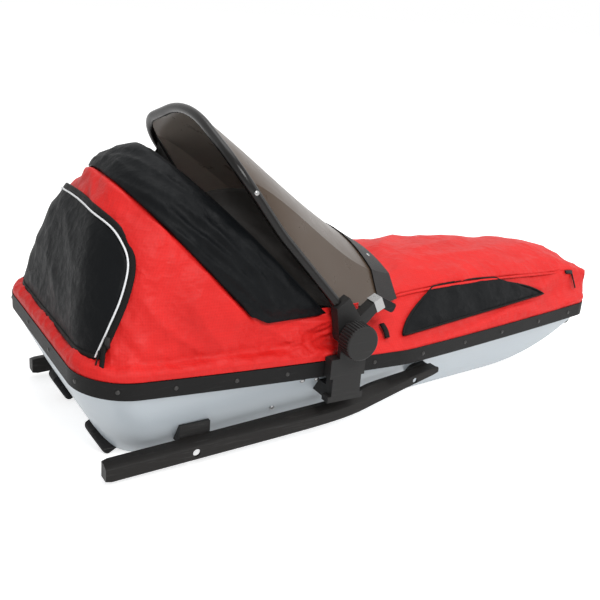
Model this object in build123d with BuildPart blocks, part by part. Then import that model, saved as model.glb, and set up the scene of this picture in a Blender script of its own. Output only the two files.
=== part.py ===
from build123d import *
import math
import os

os.makedirs("parts", exist_ok=True)

# All sizes in millimetres. +X is the nose, +Y the left side, +Z up, Z = 0 the snow under the hull.
sides = (("right", -1), ("left", 1))

# Sheer line: the lower edge of the rim band seen from the side, one shallow arc.
sheer_end_x = 760.0
sheer_stern_z = 202.0
sheer_mid_z = 150.0
sheer_nose_z = 132.0
rim_tall = 33.0
rim_out = 5.0
rim_in = 13.0
# Rim plan: half beams at the stern, the shoulder and the nose, with corner radii.
rim_stern_x = -690.0
rim_stern_half = 288.0
rim_mid_x = 16.0
rim_mid_half = 269.0
rim_nose_x = 690.0
rim_nose_half = 148.0
rim_stern_radius = 94.0
rim_nose_radius = 46.0
mid_radius = 300.0
# Hull wall and floor, and its levels.
wall = 5.0
floor = 6.0
# z, stern x, stern half, mid x, mid half, nose x, nose half, stern radius, nose radius
hull_levels = [
    (0.0, -588.0, 168.0, 0.0, 138.0, 400.0, 100.0, 80.0, 34.0),
    (35.0, -611.0, 205.0, 5.0, 172.0, 556.0, 116.0, 84.0, 38.0),
    (100.0, -646.0, 243.0, 12.0, 218.0, 655.0, 136.0, 90.0, 42.0),
    (215.0, -698.0, 295.0, 16.0, 322.0, 738.0, 168.0, 95.0, 46.0),
]
# Support runners: flat bars beside the hull that rise and taper to the front.
runner_outer_y = 266.0
runner_wide = 30.0
runner_rear_x = -648.0
runner_rear_z = 14.0
runner_bend_x = -165.0
runner_bend_z = 40.0
runner_tip_x = 112.0
runner_tip_z = 112.0
runner_tall = 47.0
runner_tip_tall = 17.0
runner_tip_slant = 10.0
runner_swell_run = 118.0
runner_swell_rise = 70.0
runner_blend = 60.0
runner_end_round = 9.0
runner_bevel = 4.0
runner_hole = 4.5
# Runner bolt holes: x, z. Brackets behind the runner: x, z, length, height.
runner_holes = [(-470.0, 43.0), (50.0, 105.0)]
bracket_rows = [(-460.0, 66.0, 64.0, 42.0), (84.0, 108.0, 44.0, 26.0)]
bracket_deep = 60.0
bracket_round = 8.0
# Rubber feet on the raked transom.
foot_y = 125.0
foot_z = 42.0
foot_wide = 40.0
foot_tall = 66.0
foot_stand = 13.0
foot_round = 9.0
# Tow brackets under the nose, each with a cross bore for the shaft pin.
tow_y = 92.0
tow_z = 102.0
tow_stand = 36.0
tow_long = 90.0
tow_tall = 34.0
tow_wide = 24.0
tow_bore = 5.0
tow_bore_back = 15.0
tow_round = 14.0
# Windscreen hinge outside the rim: bracket, clamp knob and knuckle, stacked outwards from the rim.
hinge_x = -155.0
hinge_z = 248.0
plate_seat = 2.4
plate_thick = 23.0
plate_wide = 68.0
plate_low_z = 112.0
lug_out = 8.0
lug_tall = 13.0
foot_deep = 30.0
block_out = 7.0
block_low_z = 164.0
shelf_z = 206.0
tongue_thick = 11.0
tongue_wide = 56.0
tongue_top_z = 276.0
hinge_shift = 6.0
shaft_radius = 5.0
shaft_gap = 0.5
knob_radius = 37.0
knob_thick = 34.0
knob_round = 5.0
knob_flutes = 36
flute_radius = 1.9
knuckle_gap = 7.0
knuckle_thick = 24.0
knuckle_radius = 24.0
knuckle_clear = 1.0
shaft_short = 4.0
# Hood levels: z, rear x, rear half, front half, corner radius.
hood_levels = [
    (186.0, -684.0, 280.0, 254.0, 92.0),
    (340.0, -654.0, 262.0, 250.0, 104.0),
    (455.0, -622.0, 232.0, 226.0, 112.0),
    (530.0, -574.0, 170.0, 170.0, 104.0),
    (577.0, -504.0, 62.0, 70.0, 46.0),
]
hood_front_x = -112.0
hood_skin = 6.0
collar_out = 5.0
collar_in = 14.0
collar_base_z = 285.0
seam_low_x = -346.0
seam_slope = 0.889
front_low_x = -190.0
front_slope = 0.95
# Rear panel outline: half widths and heights.
panel_low_half = 232.0
panel_low_z = 262.0
panel_wide_half = 240.0
panel_wide_z = 350.0
panel_high_half = 214.0
panel_high_z = 432.0
panel_top_z = 490.0
panel_front_x = -560.0
# Nose cover sections: x, base half, shoulder half, shoulder z, ridge z.
nose_sections = [
    (-112.0, 264.0, 190.0, 246.0, 286.0),
    (40.0, 256.0, 174.0, 282.0, 335.0),
    (300.0, 212.0, 152.0, 280.0, 328.0),
    (560.0, 164.0, 122.0, 254.0, 292.0),
    (650.0, 148.0, 116.0, 240.0, 262.0),
    (690.0, 142.0, 112.0, 224.0, 240.0),
]
cover_skin = 5.0
cover_base_z = 186.0
cover_deep_z = 120.0
cockpit_front_x = 18.0
cockpit_half = 172.0
# Pockets on the cover's flanks: corners x, z.
pocket_thick = 3.0
pocket_round = 16.0
pocket_corners = [(24.0, 206.0), (108.0, 270.0), (372.0, 258.0), (512.0, 208.0)]
# Seat pad on the floor and a leaning backrest standing on it.
seat_rear_x = -560.0
seat_front_x = -130.0
seat_half = 122.0
seat_top_z = 40.0
seat_corner = 30.0
seat_edge = 10.0
back_thick = 26.0
back_half = 140.0
back_top_x = -590.0
back_top_z = 440.0
back_foot_x = -480.0
back_corner = 60.0
# Bow of the windscreen: a tube from hinge to hinge through a knee, a corner and the top.
bow_radius = 10.0
bow_inset = 2.0
bow_base_x = -156.0
bow_base_z = 286.0
bow_knee_x = -300.0
bow_knee_half = 243.0
bow_knee_z = 455.0
bow_corner_x = -394.0
bow_corner_half = 226.0
bow_corner_z = 588.0
bow_top_x = -392.0
bow_top_z = 664.0
bow_knee_bend = 400.0
bow_corner_bend = 95.0
bow_top_bend = 300.0
# Windscreen sections: x, foot half, foot z, side half, side z, ridge z.
visor_sections = [
    (-410.0, 232.0, 510.0, 216.0, 574.0, 667.0),
    (-300.0, 254.0, 400.0, 214.0, 520.0, 582.0),
    (-156.0, 272.0, 270.0, 204.0, 408.0, 467.0),
    (30.0, 204.0, 262.0, 158.0, 312.0, 343.0),
]
visor_thick = 3.0
visor_gap = 5.0
visor_front_x = 15.0
visor_foot_z = 274.0
visor_foot_rear_z = 292.0
form_drop = 20.0
band_thick = 3.0
band_gap = 0.4
band_rear_x = -40.0
band_front_x = 23.0
band_low_z = 272.0
# Square ferrules and rubber-ended tabs in front of the knuckles: offsets from the hinge.
ferrule_x = 68.0
ferrule_z = 55.0
ferrule_size = 26.0
ferrule_long = 20.0
ferrule_turn = -26.0
tab_x = 90.0
tab_z = 50.0
tab_long = 46.0
tab_wide = 18.0
tab_tall = 20.0
tab_turn = 28.0
tab_round = 7.0
far = 900.0


def level_at(z, column):
    """A hull level's value at height z, between the levels given."""
    for low, high in zip(hull_levels, hull_levels[1:]):
        if z <= high[0]:
            return low[column] + (high[column] - low[column]) * (z - low[0]) / (high[0] - low[0])
    return hull_levels[-1][column]


def rim_half_at(x):
    """The rim's half beam between the stern and the shoulder."""
    return rim_stern_half + (rim_mid_half - rim_stern_half) * (x - rim_stern_x) / (rim_mid_x - rim_stern_x)


# What follows from the sizes: the hinge stack is built outwards from the rim.
tow_reach_x = level_at(tow_z, 5) + tow_stand
plate_rim_y = rim_half_at(hinge_x) + rim_out + plate_seat
plate_outer_y = plate_rim_y + plate_thick
tongue_inner_y = plate_outer_y - tongue_thick
knuckle_mid_y = tongue_inner_y - knuckle_gap - knuckle_thick / 2
bow_base_half = knuckle_mid_y - bow_inset
shaft_inner_y = knuckle_mid_y - knuckle_thick / 2 + shaft_short
cover_top = Location((0, 0, rim_tall))
transom_rake = math.degrees(math.atan2(level_at(0, 1) - level_at(hull_levels[2][0], 1), hull_levels[2][0]))

# Solid form of the hull outside, used to seat the fittings that touch it.
with BuildPart() as hull_outer:
    for z, sx, sh, mx, mh, nx, nh, rs, rn in hull_levels:
        with BuildSketch(Plane.XY.offset(z)) as level:
            with BuildLine():
                Polyline((sx, -sh), (mx, -mh), (nx, -nh), (nx, nh), (mx, mh), (sx, sh), close=True)
            make_face()
            fillet(level.vertices().filter_by_position(Axis.X, mx - 1, mx + 1), mid_radius)
            fillet(level.vertices().filter_by_position(Axis.X, sx - 1, sx + 1), rs)
            fillet(level.vertices().filter_by_position(Axis.X, nx - 1, nx + 1), rn)
    loft()

# Everything above the sheer line, to trim the hull and to seat the rim.
with BuildPart() as above_sheer:
    with BuildSketch(Plane.XZ):
        with BuildLine():
            ThreePointArc((-sheer_end_x, sheer_stern_z), (0, sheer_mid_z), (sheer_end_x, sheer_nose_z))
            Polyline((sheer_end_x, sheer_nose_z), (sheer_end_x, far), (-sheer_end_x, far), (-sheer_end_x, sheer_stern_z))
        make_face()
    extrude(amount=far, both=True)

with BuildPart() as hull:
    add(hull_outer.part)
    for row, (z, sx, sh, mx, mh, nx, nh, rs, rn) in enumerate(hull_levels):
        raised = floor if row == 0 else (1 if row == len(hull_levels) - 1 else 0)
        with BuildSketch(Plane.XY.offset(z + raised)) as level:
            with BuildLine():
                Polyline(
                    (sx + wall, -sh + wall), (mx, -mh + wall), (nx - wall, -nh + wall),
                    (nx - wall, nh - wall), (mx, mh - wall), (sx + wall, sh - wall), close=True,
                )
            make_face()
            fillet(level.vertices().filter_by_position(Axis.X, mx - 1, mx + 1), mid_radius)
            fillet(level.vertices().filter_by_position(Axis.X, sx + wall - 1, sx + wall + 1), rs - wall)
            fillet(level.vertices().filter_by_position(Axis.X, nx - wall - 1, nx - wall + 1), rn - wall)
    loft(mode=Mode.SUBTRACT)
    add(above_sheer.part, mode=Mode.SUBTRACT)
hull.part.label = "hull"
export_step(hull.part, "parts/hull.step")

# Rim edging: an upright band along the sheer, outside and inside growth of one plan.
with BuildPart() as rim_edging:
    for grow, mode in ((rim_out, Mode.ADD), (-rim_in, Mode.SUBTRACT)):
        with BuildSketch(Plane.XY) as ring:
            with BuildLine():
                Polyline(
                    (rim_stern_x - grow, -rim_stern_half - grow), (rim_mid_x, -rim_mid_half - grow),
                    (rim_nose_x + grow, -rim_nose_half - grow), (rim_nose_x + grow, rim_nose_half + grow),
                    (rim_mid_x, rim_mid_half + grow), (rim_stern_x - grow, rim_stern_half + grow), close=True,
                )
            make_face()
            fillet(ring.vertices().filter_by_position(Axis.X, rim_mid_x - 1, rim_mid_x + 1), mid_radius)
            fillet(ring.vertices().group_by(Axis.X)[0], rim_stern_radius + grow)
            fillet(ring.vertices().group_by(Axis.X)[-1], rim_nose_radius + grow)
        extrude(amount=sheer_stern_z + 2 * rim_tall, mode=mode)
    add(above_sheer.part, mode=Mode.INTERSECT)
    add(above_sheer.part.moved(cover_top), mode=Mode.SUBTRACT)
rim_edging.part.label = "rim_edging"
export_step(rim_edging.part, "parts/rim_edging.step")

for side, sign in sides:
    with BuildPart() as runner:
        with BuildSketch(Plane.XZ.offset(-sign * (runner_outer_y - runner_wide))) as bar:
            with BuildLine():
                Polyline(
                    (runner_rear_x, runner_rear_z), (runner_bend_x, runner_bend_z),
                    (runner_tip_x, runner_tip_z), (runner_tip_x - runner_tip_slant, runner_tip_z + runner_tip_tall),
                    (runner_bend_x + runner_swell_run, runner_bend_z + runner_swell_rise),
                    (runner_bend_x - 6, runner_bend_z + runner_tall + 4),
                    (runner_rear_x, runner_rear_z + runner_tall), close=True,
                )
            make_face()
            fillet(bar.vertices().filter_by_position(Axis.X, runner_bend_x - 10, runner_bend_x + 130), runner_blend)
            fillet(bar.vertices().group_by(Axis.X)[0], runner_end_round)
        extrude(amount=-sign * runner_wide)
        chamfer(runner.faces().sort_by(Axis.Y)[0 if sign < 0 else -1].edges(), runner_bevel)
        with Locations(*[(x, sign * runner_outer_y, z) for x, z in runner_holes]):
            Cylinder(runner_hole, 3 * runner_wide, rotation=(90, 0, 0), mode=Mode.SUBTRACT)
    runner.part.label = "runner_" + side
    export_step(runner.part, "parts/runner_" + side + ".step")

    with BuildPart() as brackets:
        for x, z, length, tall in bracket_rows:
            with Locations((x, sign * (runner_outer_y - runner_wide - bracket_deep / 2), z)):
                Box(length, bracket_deep, tall)
        fillet(brackets.edges().filter_by(Axis.Y).group_by(Axis.Z)[-1], bracket_round)
        add(hull_outer.part, mode=Mode.SUBTRACT)
    brackets.part.label = "runner_brackets_" + side
    export_step(brackets.part, "parts/runner_brackets_" + side + ".step")

# Rubber feet lie along the raked transom, one node with two solids.
with BuildPart() as transom_feet:
    for y in (-foot_y, foot_y):
        with Locations(Location((level_at(foot_z, 1) - foot_stand + 2 * foot_stand, y, foot_z), (0, -transom_rake, 0))):
            Box(4 * foot_stand, foot_wide, foot_tall)
    fillet(transom_feet.faces().sort_by(Axis.X)[:2].edges(), foot_round)
    add(hull_outer.part, mode=Mode.SUBTRACT)
transom_feet.part.label = "transom_feet"
export_step(transom_feet.part, "parts/transom_feet.step")

for side, sign in sides:
    with BuildPart() as tow_bracket:
        with Locations((tow_reach_x - tow_long / 2, sign * tow_y, tow_z)):
            Box(tow_long, tow_wide, tow_tall)
        fillet(tow_bracket.edges().filter_by(Axis.Y).group_by(Axis.X)[-1], tow_round)
        with Locations((tow_reach_x - tow_bore_back, sign * tow_y, tow_z)):
            Cylinder(tow_bore, tow_wide * 2, rotation=(90, 0, 0), mode=Mode.SUBTRACT)
        add(hull_outer.part, mode=Mode.SUBTRACT)
    tow_bracket.part.label = "tow_bracket_" + side
    export_step(tow_bracket.part, "parts/tow_bracket_" + side + ".step")

# Hinge bracket: foot lugs, a plate down the hull, a block over the rim and a tongue with the shaft's bore.
for side, sign in sides:
    outer_align = Align.MIN if sign > 0 else Align.MAX
    with BuildPart() as hinge_bracket:
        with Locations((hinge_x - hinge_shift, sign * plate_rim_y, plate_low_z)):
            Box(plate_wide, 2 * bracket_deep, foot_deep, align=(Align.CENTER, Align.CENTER, Align.MIN))
        with Locations((hinge_x - hinge_shift, sign * plate_outer_y, plate_low_z)):
            Box(2 * plate_wide, far, far, align=(Align.CENTER, outer_align, Align.CENTER), mode=Mode.SUBTRACT)
        add(hull_outer.part, mode=Mode.SUBTRACT)
        with BuildSketch(Plane.XZ.offset(-sign * plate_rim_y)):
            with Locations((hinge_x - hinge_shift, (plate_low_z + shelf_z) / 2)):
                Rectangle(plate_wide, shelf_z - plate_low_z)
            with Locations((hinge_x - hinge_shift, plate_low_z + lug_tall / 2)):
                Rectangle(plate_wide + 2 * lug_out, lug_tall)
            with Locations((hinge_x - hinge_shift, (block_low_z + shelf_z) / 2)):
                Rectangle(plate_wide + 2 * block_out, shelf_z - block_low_z)
        extrude(amount=-sign * plate_thick)
        with BuildSketch(Plane.XZ.offset(-sign * tongue_inner_y)):
            with BuildLine():
                Polyline(
                    (hinge_x - tongue_wide / 2, shelf_z - 1), (hinge_x + tongue_wide / 2, shelf_z - 1),
                    (hinge_x + tongue_wide / 2, hinge_z), (hinge_x + tongue_wide / 4, tongue_top_z),
                    (hinge_x - tongue_wide / 4, tongue_top_z), (hinge_x - tongue_wide / 2, hinge_z), close=True,
                )
            make_face()
        extrude(amount=-sign * tongue_thick)
        with Locations((hinge_x, sign * plate_outer_y, hinge_z)):
            Cylinder(shaft_radius + shaft_gap, 4 * tongue_thick, rotation=(90, 0, 0), mode=Mode.SUBTRACT)
    hinge_bracket.part.label = "hinge_bracket_" + side
    export_step(hinge_bracket.part, "parts/hinge_bracket_" + side + ".step")

    # Clamp knob with grip flutes all round, on the shaft that passes through bracket and knuckle.
    with BuildPart() as knob:
        with Locations((hinge_x, sign * (plate_outer_y + knob_thick / 2), hinge_z)):
            Cylinder(knob_radius, knob_thick, rotation=(90, 0, 0))
        fillet(knob.faces().sort_by(Axis.Y)[0 if sign < 0 else -1].edges(), knob_round)
        with BuildSketch(Plane.XZ.offset(-sign * plate_outer_y)):
            with Locations((hinge_x, hinge_z)):
                with PolarLocations(knob_radius, knob_flutes):
                    Circle(flute_radius)
        extrude(amount=-sign * knob_thick, mode=Mode.SUBTRACT)
        with Locations((hinge_x, sign * (plate_outer_y + shaft_inner_y) / 2, hinge_z)):
            Cylinder(shaft_radius, plate_outer_y - shaft_inner_y, rotation=(90, 0, 0))
    knob.part.label = "knob_" + side
    export_step(knob.part, "parts/knob_" + side + ".step")

# Side-view regions that split the hood: collar band, open cockpit in front, rear panel outline.
rise = far - collar_base_z
with BuildPart() as collar_region:
    with BuildSketch(Plane.XZ):
        with BuildLine():
            Polyline(
                (seam_low_x, collar_base_z), (seam_low_x - rise * seam_slope, far),
                (front_low_x - rise * front_slope, far), (front_low_x, collar_base_z), close=True,
            )
        make_face()
    extrude(amount=far, both=True)

with BuildPart() as cockpit_region:
    with BuildSketch(Plane.XZ):
        with BuildLine():
            Polyline(
                (front_low_x, collar_base_z), (front_low_x - rise * front_slope, far),
                (far, far), (far, collar_base_z), close=True,
            )
        make_face()
    extrude(amount=far, both=True)

with BuildPart() as panel_region:
    with BuildSketch(Plane.YZ.offset(panel_front_x)):
        with BuildLine():
            Line((-panel_low_half, panel_low_z), (panel_low_half, panel_low_z))
            ThreePointArc(
                (panel_low_half, panel_low_z), (panel_wide_half, panel_wide_z), (panel_high_half, panel_high_z)
            )
            ThreePointArc((panel_high_half, panel_high_z), (0, panel_top_z), (-panel_high_half, panel_high_z))
            ThreePointArc(
                (-panel_high_half, panel_high_z), (-panel_wide_half, panel_wide_z), (-panel_low_half, panel_low_z)
            )
        make_face()
    extrude(amount=-far)

# Hood as a hollow dome, then cut into shell and rear panel.
top_row = len(hood_levels) - 1
with BuildPart() as dome:
    for z, rx, rh, fh, radius in hood_levels:
        with BuildSketch(Plane.XY.offset(z)) as level:
            with BuildLine():
                Polyline((rx, -rh), (hood_front_x, -fh), (hood_front_x, fh), (rx, rh), close=True)
            make_face()
            fillet(level.vertices().group_by(Axis.X)[0], radius)
    loft()
    for row, (z, rx, rh, fh, radius) in enumerate(hood_levels):
        shift = -hood_skin if row == top_row else (-1 if row == 0 else 0)
        ahead = hood_front_x + 10 * hood_skin
        with BuildSketch(Plane.XY.offset(z + shift)) as level:
            with BuildLine():
                Polyline(
                    (rx + hood_skin, -rh + hood_skin), (ahead, -fh + hood_skin),
                    (ahead, fh - hood_skin), (rx + hood_skin, rh - hood_skin), close=True,
                )
            make_face()
            fillet(level.vertices().group_by(Axis.X)[0], radius - hood_skin)
    loft(mode=Mode.SUBTRACT)

with BuildPart() as hood:
    add(dome.part)
    add(collar_region.part, mode=Mode.SUBTRACT)
    add(cockpit_region.part, mode=Mode.SUBTRACT)
    add(panel_region.part, mode=Mode.SUBTRACT)
    add(above_sheer.part.moved(cover_top), mode=Mode.INTERSECT)
hood.part.label = "hood"
export_step(hood.part, "parts/hood.step")

with BuildPart() as rear_panel:
    add(dome.part)
    add(panel_region.part, mode=Mode.INTERSECT)
rear_panel.part.label = "rear_panel"
export_step(rear_panel.part, "parts/rear_panel.step")

# Padded collar: the same dome grown outwards and inwards, kept between seam and front edge.
with BuildPart() as collar:
    for grow, ahead, mode in ((collar_out, 0, Mode.ADD), (-collar_in, 4 * collar_in, Mode.SUBTRACT)):
        for row, (z, rx, rh, fh, radius) in enumerate(hood_levels):
            with BuildSketch(Plane.XY.offset(z + (grow if row == top_row else 0))) as level:
                with BuildLine():
                    Polyline(
                        (rx - grow, -rh - grow), (hood_front_x + ahead, -fh - grow),
                        (hood_front_x + ahead, fh + grow), (rx - grow, rh + grow), close=True,
                    )
                make_face()
                fillet(level.vertices().group_by(Axis.X)[0], radius + grow)
        loft(mode=mode)
    add(collar_region.part, mode=Mode.INTERSECT)
collar.part.label = "collar"
export_step(collar.part, "parts/collar.step")

# Nose cover forms: the cover outside, its hollow, and the cover with the pocket's thickness on it.
# name, growth, how far the first and the last section move
nose_forms = {}
for form, grow, rear_shift, front_shift in (
    ("outside", 0.0, 0.0, 0.0),
    ("hollow", -cover_skin, -12 * cover_skin, -cover_skin),
    ("pocket", pocket_thick, 0.0, 0.0),
):
    with BuildPart() as nose_form:
        for row, (x, base, shoulder, shoulder_z, ridge_z) in enumerate(nose_sections):
            shift = rear_shift if row == 0 else (front_shift if row == len(nose_sections) - 1 else 0)
            b = base + grow
            s = shoulder + grow
            with BuildSketch(Plane.YZ.offset(x + shift)):
                with BuildLine():
                    Line((-b, cover_deep_z), (b, cover_deep_z))
                    Line((b, cover_deep_z), (b, cover_base_z))
                    Line((b, cover_base_z), (s, shoulder_z + grow))
                    ThreePointArc((s, shoulder_z + grow), (0, ridge_z + grow), (-s, shoulder_z + grow))
                    Line((-s, shoulder_z + grow), (-b, cover_base_z))
                    Line((-b, cover_base_z), (-b, cover_deep_z))
                make_face()
        loft(ruled=True)
    nose_forms[form] = nose_form.part

with BuildPart() as nose_cover:
    add(nose_forms["outside"])
    add(nose_forms["hollow"], mode=Mode.SUBTRACT)
    add(above_sheer.part.moved(cover_top), mode=Mode.INTERSECT)
    with Locations((cockpit_front_x, 0, cover_base_z)):
        Box(far, 2 * cockpit_half, far, align=(Align.MAX, Align.CENTER, Align.MIN), mode=Mode.SUBTRACT)
nose_cover.part.label = "nose_cover"
export_step(nose_cover.part, "parts/nose_cover.step")

for side, sign in sides:
    with BuildPart() as side_pocket:
        add(nose_forms["pocket"])
        add(nose_forms["outside"], mode=Mode.SUBTRACT)
        with BuildSketch(Plane.XZ) as outline:
            with BuildLine():
                Polyline(*pocket_corners, close=True)
            make_face()
            fillet(outline.vertices(), pocket_round)
        extrude(amount=-sign * far, mode=Mode.INTERSECT)
    side_pocket.part.label = "side_pocket_" + side
    export_step(side_pocket.part, "parts/side_pocket_" + side + ".step")

with BuildPart() as seat_pad:
    with Locations(((seat_rear_x + seat_front_x) / 2, 0, (floor + seat_top_z) / 2)):
        Box(seat_front_x - seat_rear_x, 2 * seat_half, seat_top_z - floor)
    fillet(seat_pad.edges().filter_by(Axis.Z), seat_corner)
    fillet(seat_pad.faces().sort_by(Axis.Z)[-1].edges(), seat_edge)
seat_pad.part.label = "seat_pad"
export_step(seat_pad.part, "parts/seat_pad.step")

with BuildPart() as backrest:
    with BuildSketch(Plane.XZ):
        with BuildLine():
            Polyline(
                (back_foot_x, seat_top_z), (back_foot_x + back_thick, seat_top_z),
                (back_top_x + back_thick, back_top_z), (back_top_x, back_top_z), close=True,
            )
        make_face()
    extrude(amount=back_half, both=True)
    fillet(backrest.edges().filter_by(Axis.X).group_by(Axis.Z)[-1], back_corner)
backrest.part.label = "backrest"
export_step(backrest.part, "parts/backrest.step")

# Windscreen bow: one bent tube over the opening.
bow_points = [
    (bow_base_x, bow_base_half, bow_base_z),
    (bow_knee_x, bow_knee_half, bow_knee_z),
    (bow_corner_x, bow_corner_half, bow_corner_z),
    (bow_top_x, 0, bow_top_z),
    (bow_corner_x, -bow_corner_half, bow_corner_z),
    (bow_knee_x, -bow_knee_half, bow_knee_z),
    (bow_base_x, -bow_base_half, bow_base_z),
]
bow_bends = [bow_knee_bend, bow_corner_bend, bow_top_bend, bow_corner_bend, bow_knee_bend]
with BuildPart() as bow:
    with BuildLine() as bow_path:
        FilletPolyline(*bow_points, radius=bow_bends)
    with BuildSketch(Plane(origin=bow_path.line @ 0, z_dir=bow_path.line % 0)):
        Circle(bow_radius)
    sweep()
bow.part.label = "bow"
export_step(bow.part, "parts/bow.step")

# Windscreen forms: the tinted sheet's outside and inside, and the base band's, each grown by a given amount.
# growth, how far the foot is carried on downwards, so that a form that is cut away passes right through
visor_forms = []
for grow, drop in ((0.0, 0.0), (-visor_thick, form_drop), (band_gap + band_thick, 0.0), (band_gap, form_drop)):
    with BuildPart() as visor_form:
        for x, foot, foot_z, side_half, side_z, ridge_z in visor_sections:
            skirt_y = foot + grow + (foot - side_half) * drop / (side_z - foot_z)
            low_z = foot_z - drop
            side_y = side_half + grow
            with BuildSketch(Plane(origin=(x, 0, 0), x_dir=(0, 1, 0), z_dir=(1, 0, 0))):
                with BuildLine():
                    Line((-skirt_y, low_z), (skirt_y, low_z))
                    Line((skirt_y, low_z), (side_y, side_z + grow))
                    ThreePointArc((side_y, side_z + grow), (0, ridge_z + grow), (-side_y, side_z + grow))
                    Line((-side_y, side_z + grow), (-skirt_y, low_z))
                make_face()
        loft()
    visor_forms.append(visor_form.part)

# Side view of the sheet: its rear edge follows the bow, its foot runs from the hinge to the front.
with BuildPart() as visor:
    add(visor_forms[0])
    add(visor_forms[1], mode=Mode.SUBTRACT)
    with BuildSketch(Plane.XZ):
        with BuildLine():
            Polyline(
                (visor_front_x, visor_foot_z), (visor_front_x, far), (bow_corner_x + visor_gap, far),
                (bow_corner_x + visor_gap, bow_corner_z), (bow_knee_x + visor_gap, bow_knee_z),
                (bow_base_x + visor_gap, visor_foot_rear_z), close=True,
            )
        make_face()
    extrude(amount=far, both=True, mode=Mode.INTERSECT)
    add(bow.part, mode=Mode.SUBTRACT)
visor.part.label = "visor"
export_step(visor.part, "parts/visor.step")

with BuildPart() as base_band:
    add(visor_forms[2])
    add(visor_forms[3], mode=Mode.SUBTRACT)
    with BuildSketch(Plane.XZ):
        with Locations(((band_rear_x + band_front_x) / 2, band_low_z)):
            Rectangle(band_front_x - band_rear_x, far, align=(Align.CENTER, Align.MIN))
    extrude(amount=far, both=True, mode=Mode.INTERSECT)
base_band.part.label = "base_band"
export_step(base_band.part, "parts/base_band.step")

# Knuckle outline beside the bow: offsets from the hinge, x and z.
knuckle_rows = [(-23, 0), (-33, 58), (-5, 78), (24, 36), (54, 60), (64, 40), (23, 0)]
for side, sign in sides:
    with BuildPart() as knuckle:
        with BuildSketch(Plane.XZ.offset(-sign * knuckle_mid_y)):
            with Locations((hinge_x, hinge_z)):
                Circle(knuckle_radius)
            with BuildLine():
                Polyline(*[(hinge_x + x, hinge_z + z) for x, z in knuckle_rows], close=True)
            make_face()
        extrude(amount=knuckle_thick / 2, both=True)
        with Locations((hinge_x, sign * knuckle_mid_y, hinge_z)):
            Cylinder(shaft_radius + knuckle_clear, 2 * knuckle_thick, rotation=(90, 0, 0), mode=Mode.SUBTRACT)
        add(bow.part, mode=Mode.SUBTRACT)
        add(visor.part, mode=Mode.SUBTRACT)
    knuckle.part.label = "knuckle_" + side
    export_step(knuckle.part, "parts/knuckle_" + side + ".step")

    with BuildPart() as ferrule:
        with Locations(Location((hinge_x + ferrule_x, sign * knuckle_mid_y, hinge_z + ferrule_z), (0, ferrule_turn, 0))):
            Box(ferrule_long, ferrule_size, ferrule_size)
        add(knuckle.part, mode=Mode.SUBTRACT)
        add(visor.part, mode=Mode.SUBTRACT)
    ferrule.part.label = "ferrule_" + side
    export_step(ferrule.part, "parts/ferrule_" + side + ".step")

    with BuildPart() as tab:
        with Locations(Location((hinge_x + tab_x, sign * knuckle_mid_y, hinge_z + tab_z), (0, tab_turn, 0))):
            Box(tab_long, tab_wide, tab_tall)
        fillet(tab.edges().filter_by(Axis.Y), tab_round)
        add(ferrule.part, mode=Mode.SUBTRACT)
        add(visor.part, mode=Mode.SUBTRACT)
    tab.part.label = "tab_" + side
    export_step(tab.part, "parts/tab_" + side + ".step")
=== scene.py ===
"""Dress the child carrier pulk: sewn hood, collar, nose cover, pads, trim, finishes and studio."""
import math

import bpy
import bmesh
from bpy.props import FloatProperty, FloatVectorProperty, PointerProperty
from bpy.types import Operator, Panel, PropertyGroup
from mathutils import Matrix, Vector, noise


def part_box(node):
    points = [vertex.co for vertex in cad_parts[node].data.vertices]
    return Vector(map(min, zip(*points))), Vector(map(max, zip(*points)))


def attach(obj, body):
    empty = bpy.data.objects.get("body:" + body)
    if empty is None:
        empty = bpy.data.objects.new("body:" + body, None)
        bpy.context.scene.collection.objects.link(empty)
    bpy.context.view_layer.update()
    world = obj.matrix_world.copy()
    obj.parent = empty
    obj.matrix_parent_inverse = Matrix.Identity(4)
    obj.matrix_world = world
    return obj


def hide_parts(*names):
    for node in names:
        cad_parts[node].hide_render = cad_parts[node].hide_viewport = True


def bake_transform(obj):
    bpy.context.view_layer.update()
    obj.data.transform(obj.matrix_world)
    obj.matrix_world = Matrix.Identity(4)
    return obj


bl_info = {
    "name": "Child Carrier Pulk",
    "version": (1, 0, 0),
    "blender": (4, 5, 0),
    "location": "View3D > Sidebar > Pulk",
    "description": "Sews and finishes a child carrier pulk around its solid parts",
    "category": "Object",
}

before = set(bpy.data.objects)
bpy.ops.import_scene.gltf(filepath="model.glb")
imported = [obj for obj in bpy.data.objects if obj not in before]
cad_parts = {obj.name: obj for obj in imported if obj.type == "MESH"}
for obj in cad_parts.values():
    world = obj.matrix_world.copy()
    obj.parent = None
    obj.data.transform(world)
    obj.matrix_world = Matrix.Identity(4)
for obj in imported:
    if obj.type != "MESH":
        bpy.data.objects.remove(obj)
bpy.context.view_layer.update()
HULL_BODY = "pulk"
SCREEN_BODY = "windscreen"
SIDES = (("right", -1), ("left", 1))

# Hood levels from the rim to the crown: z, rear x, rear half, front half, corner radius (metres).
HOOD_LEVELS = (
    (0.186, -0.684, 0.280, 0.254, 0.092),
    (0.340, -0.652, 0.250, 0.250, 0.115),
    (0.455, -0.618, 0.203, 0.222, 0.120),
    (0.530, -0.571, 0.126, 0.158, 0.100),
    (0.568, -0.510, 0.052, 0.066, 0.044),
    (0.577, -0.480, 0.002, 0.002, 0.001),
)
HOOD_FRONT = -0.112
# Collar: the seam behind it and its front edge, as x at the base and the lean back per metre of height.
COLLAR_BASE_Z = 0.285
SEAM = (-0.346, 0.889)
COLLAR_FRONT = (-0.190, 0.950)
# The windscreen bow's leg from its base to its corner, on the left side.
BOW_LEG = (
    (-0.157, 0.272, 0.287), (-0.228, 0.258, 0.371), (-0.291, 0.245, 0.446),
    (-0.345, 0.234, 0.520), (-0.386, 0.222, 0.580),
)
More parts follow.
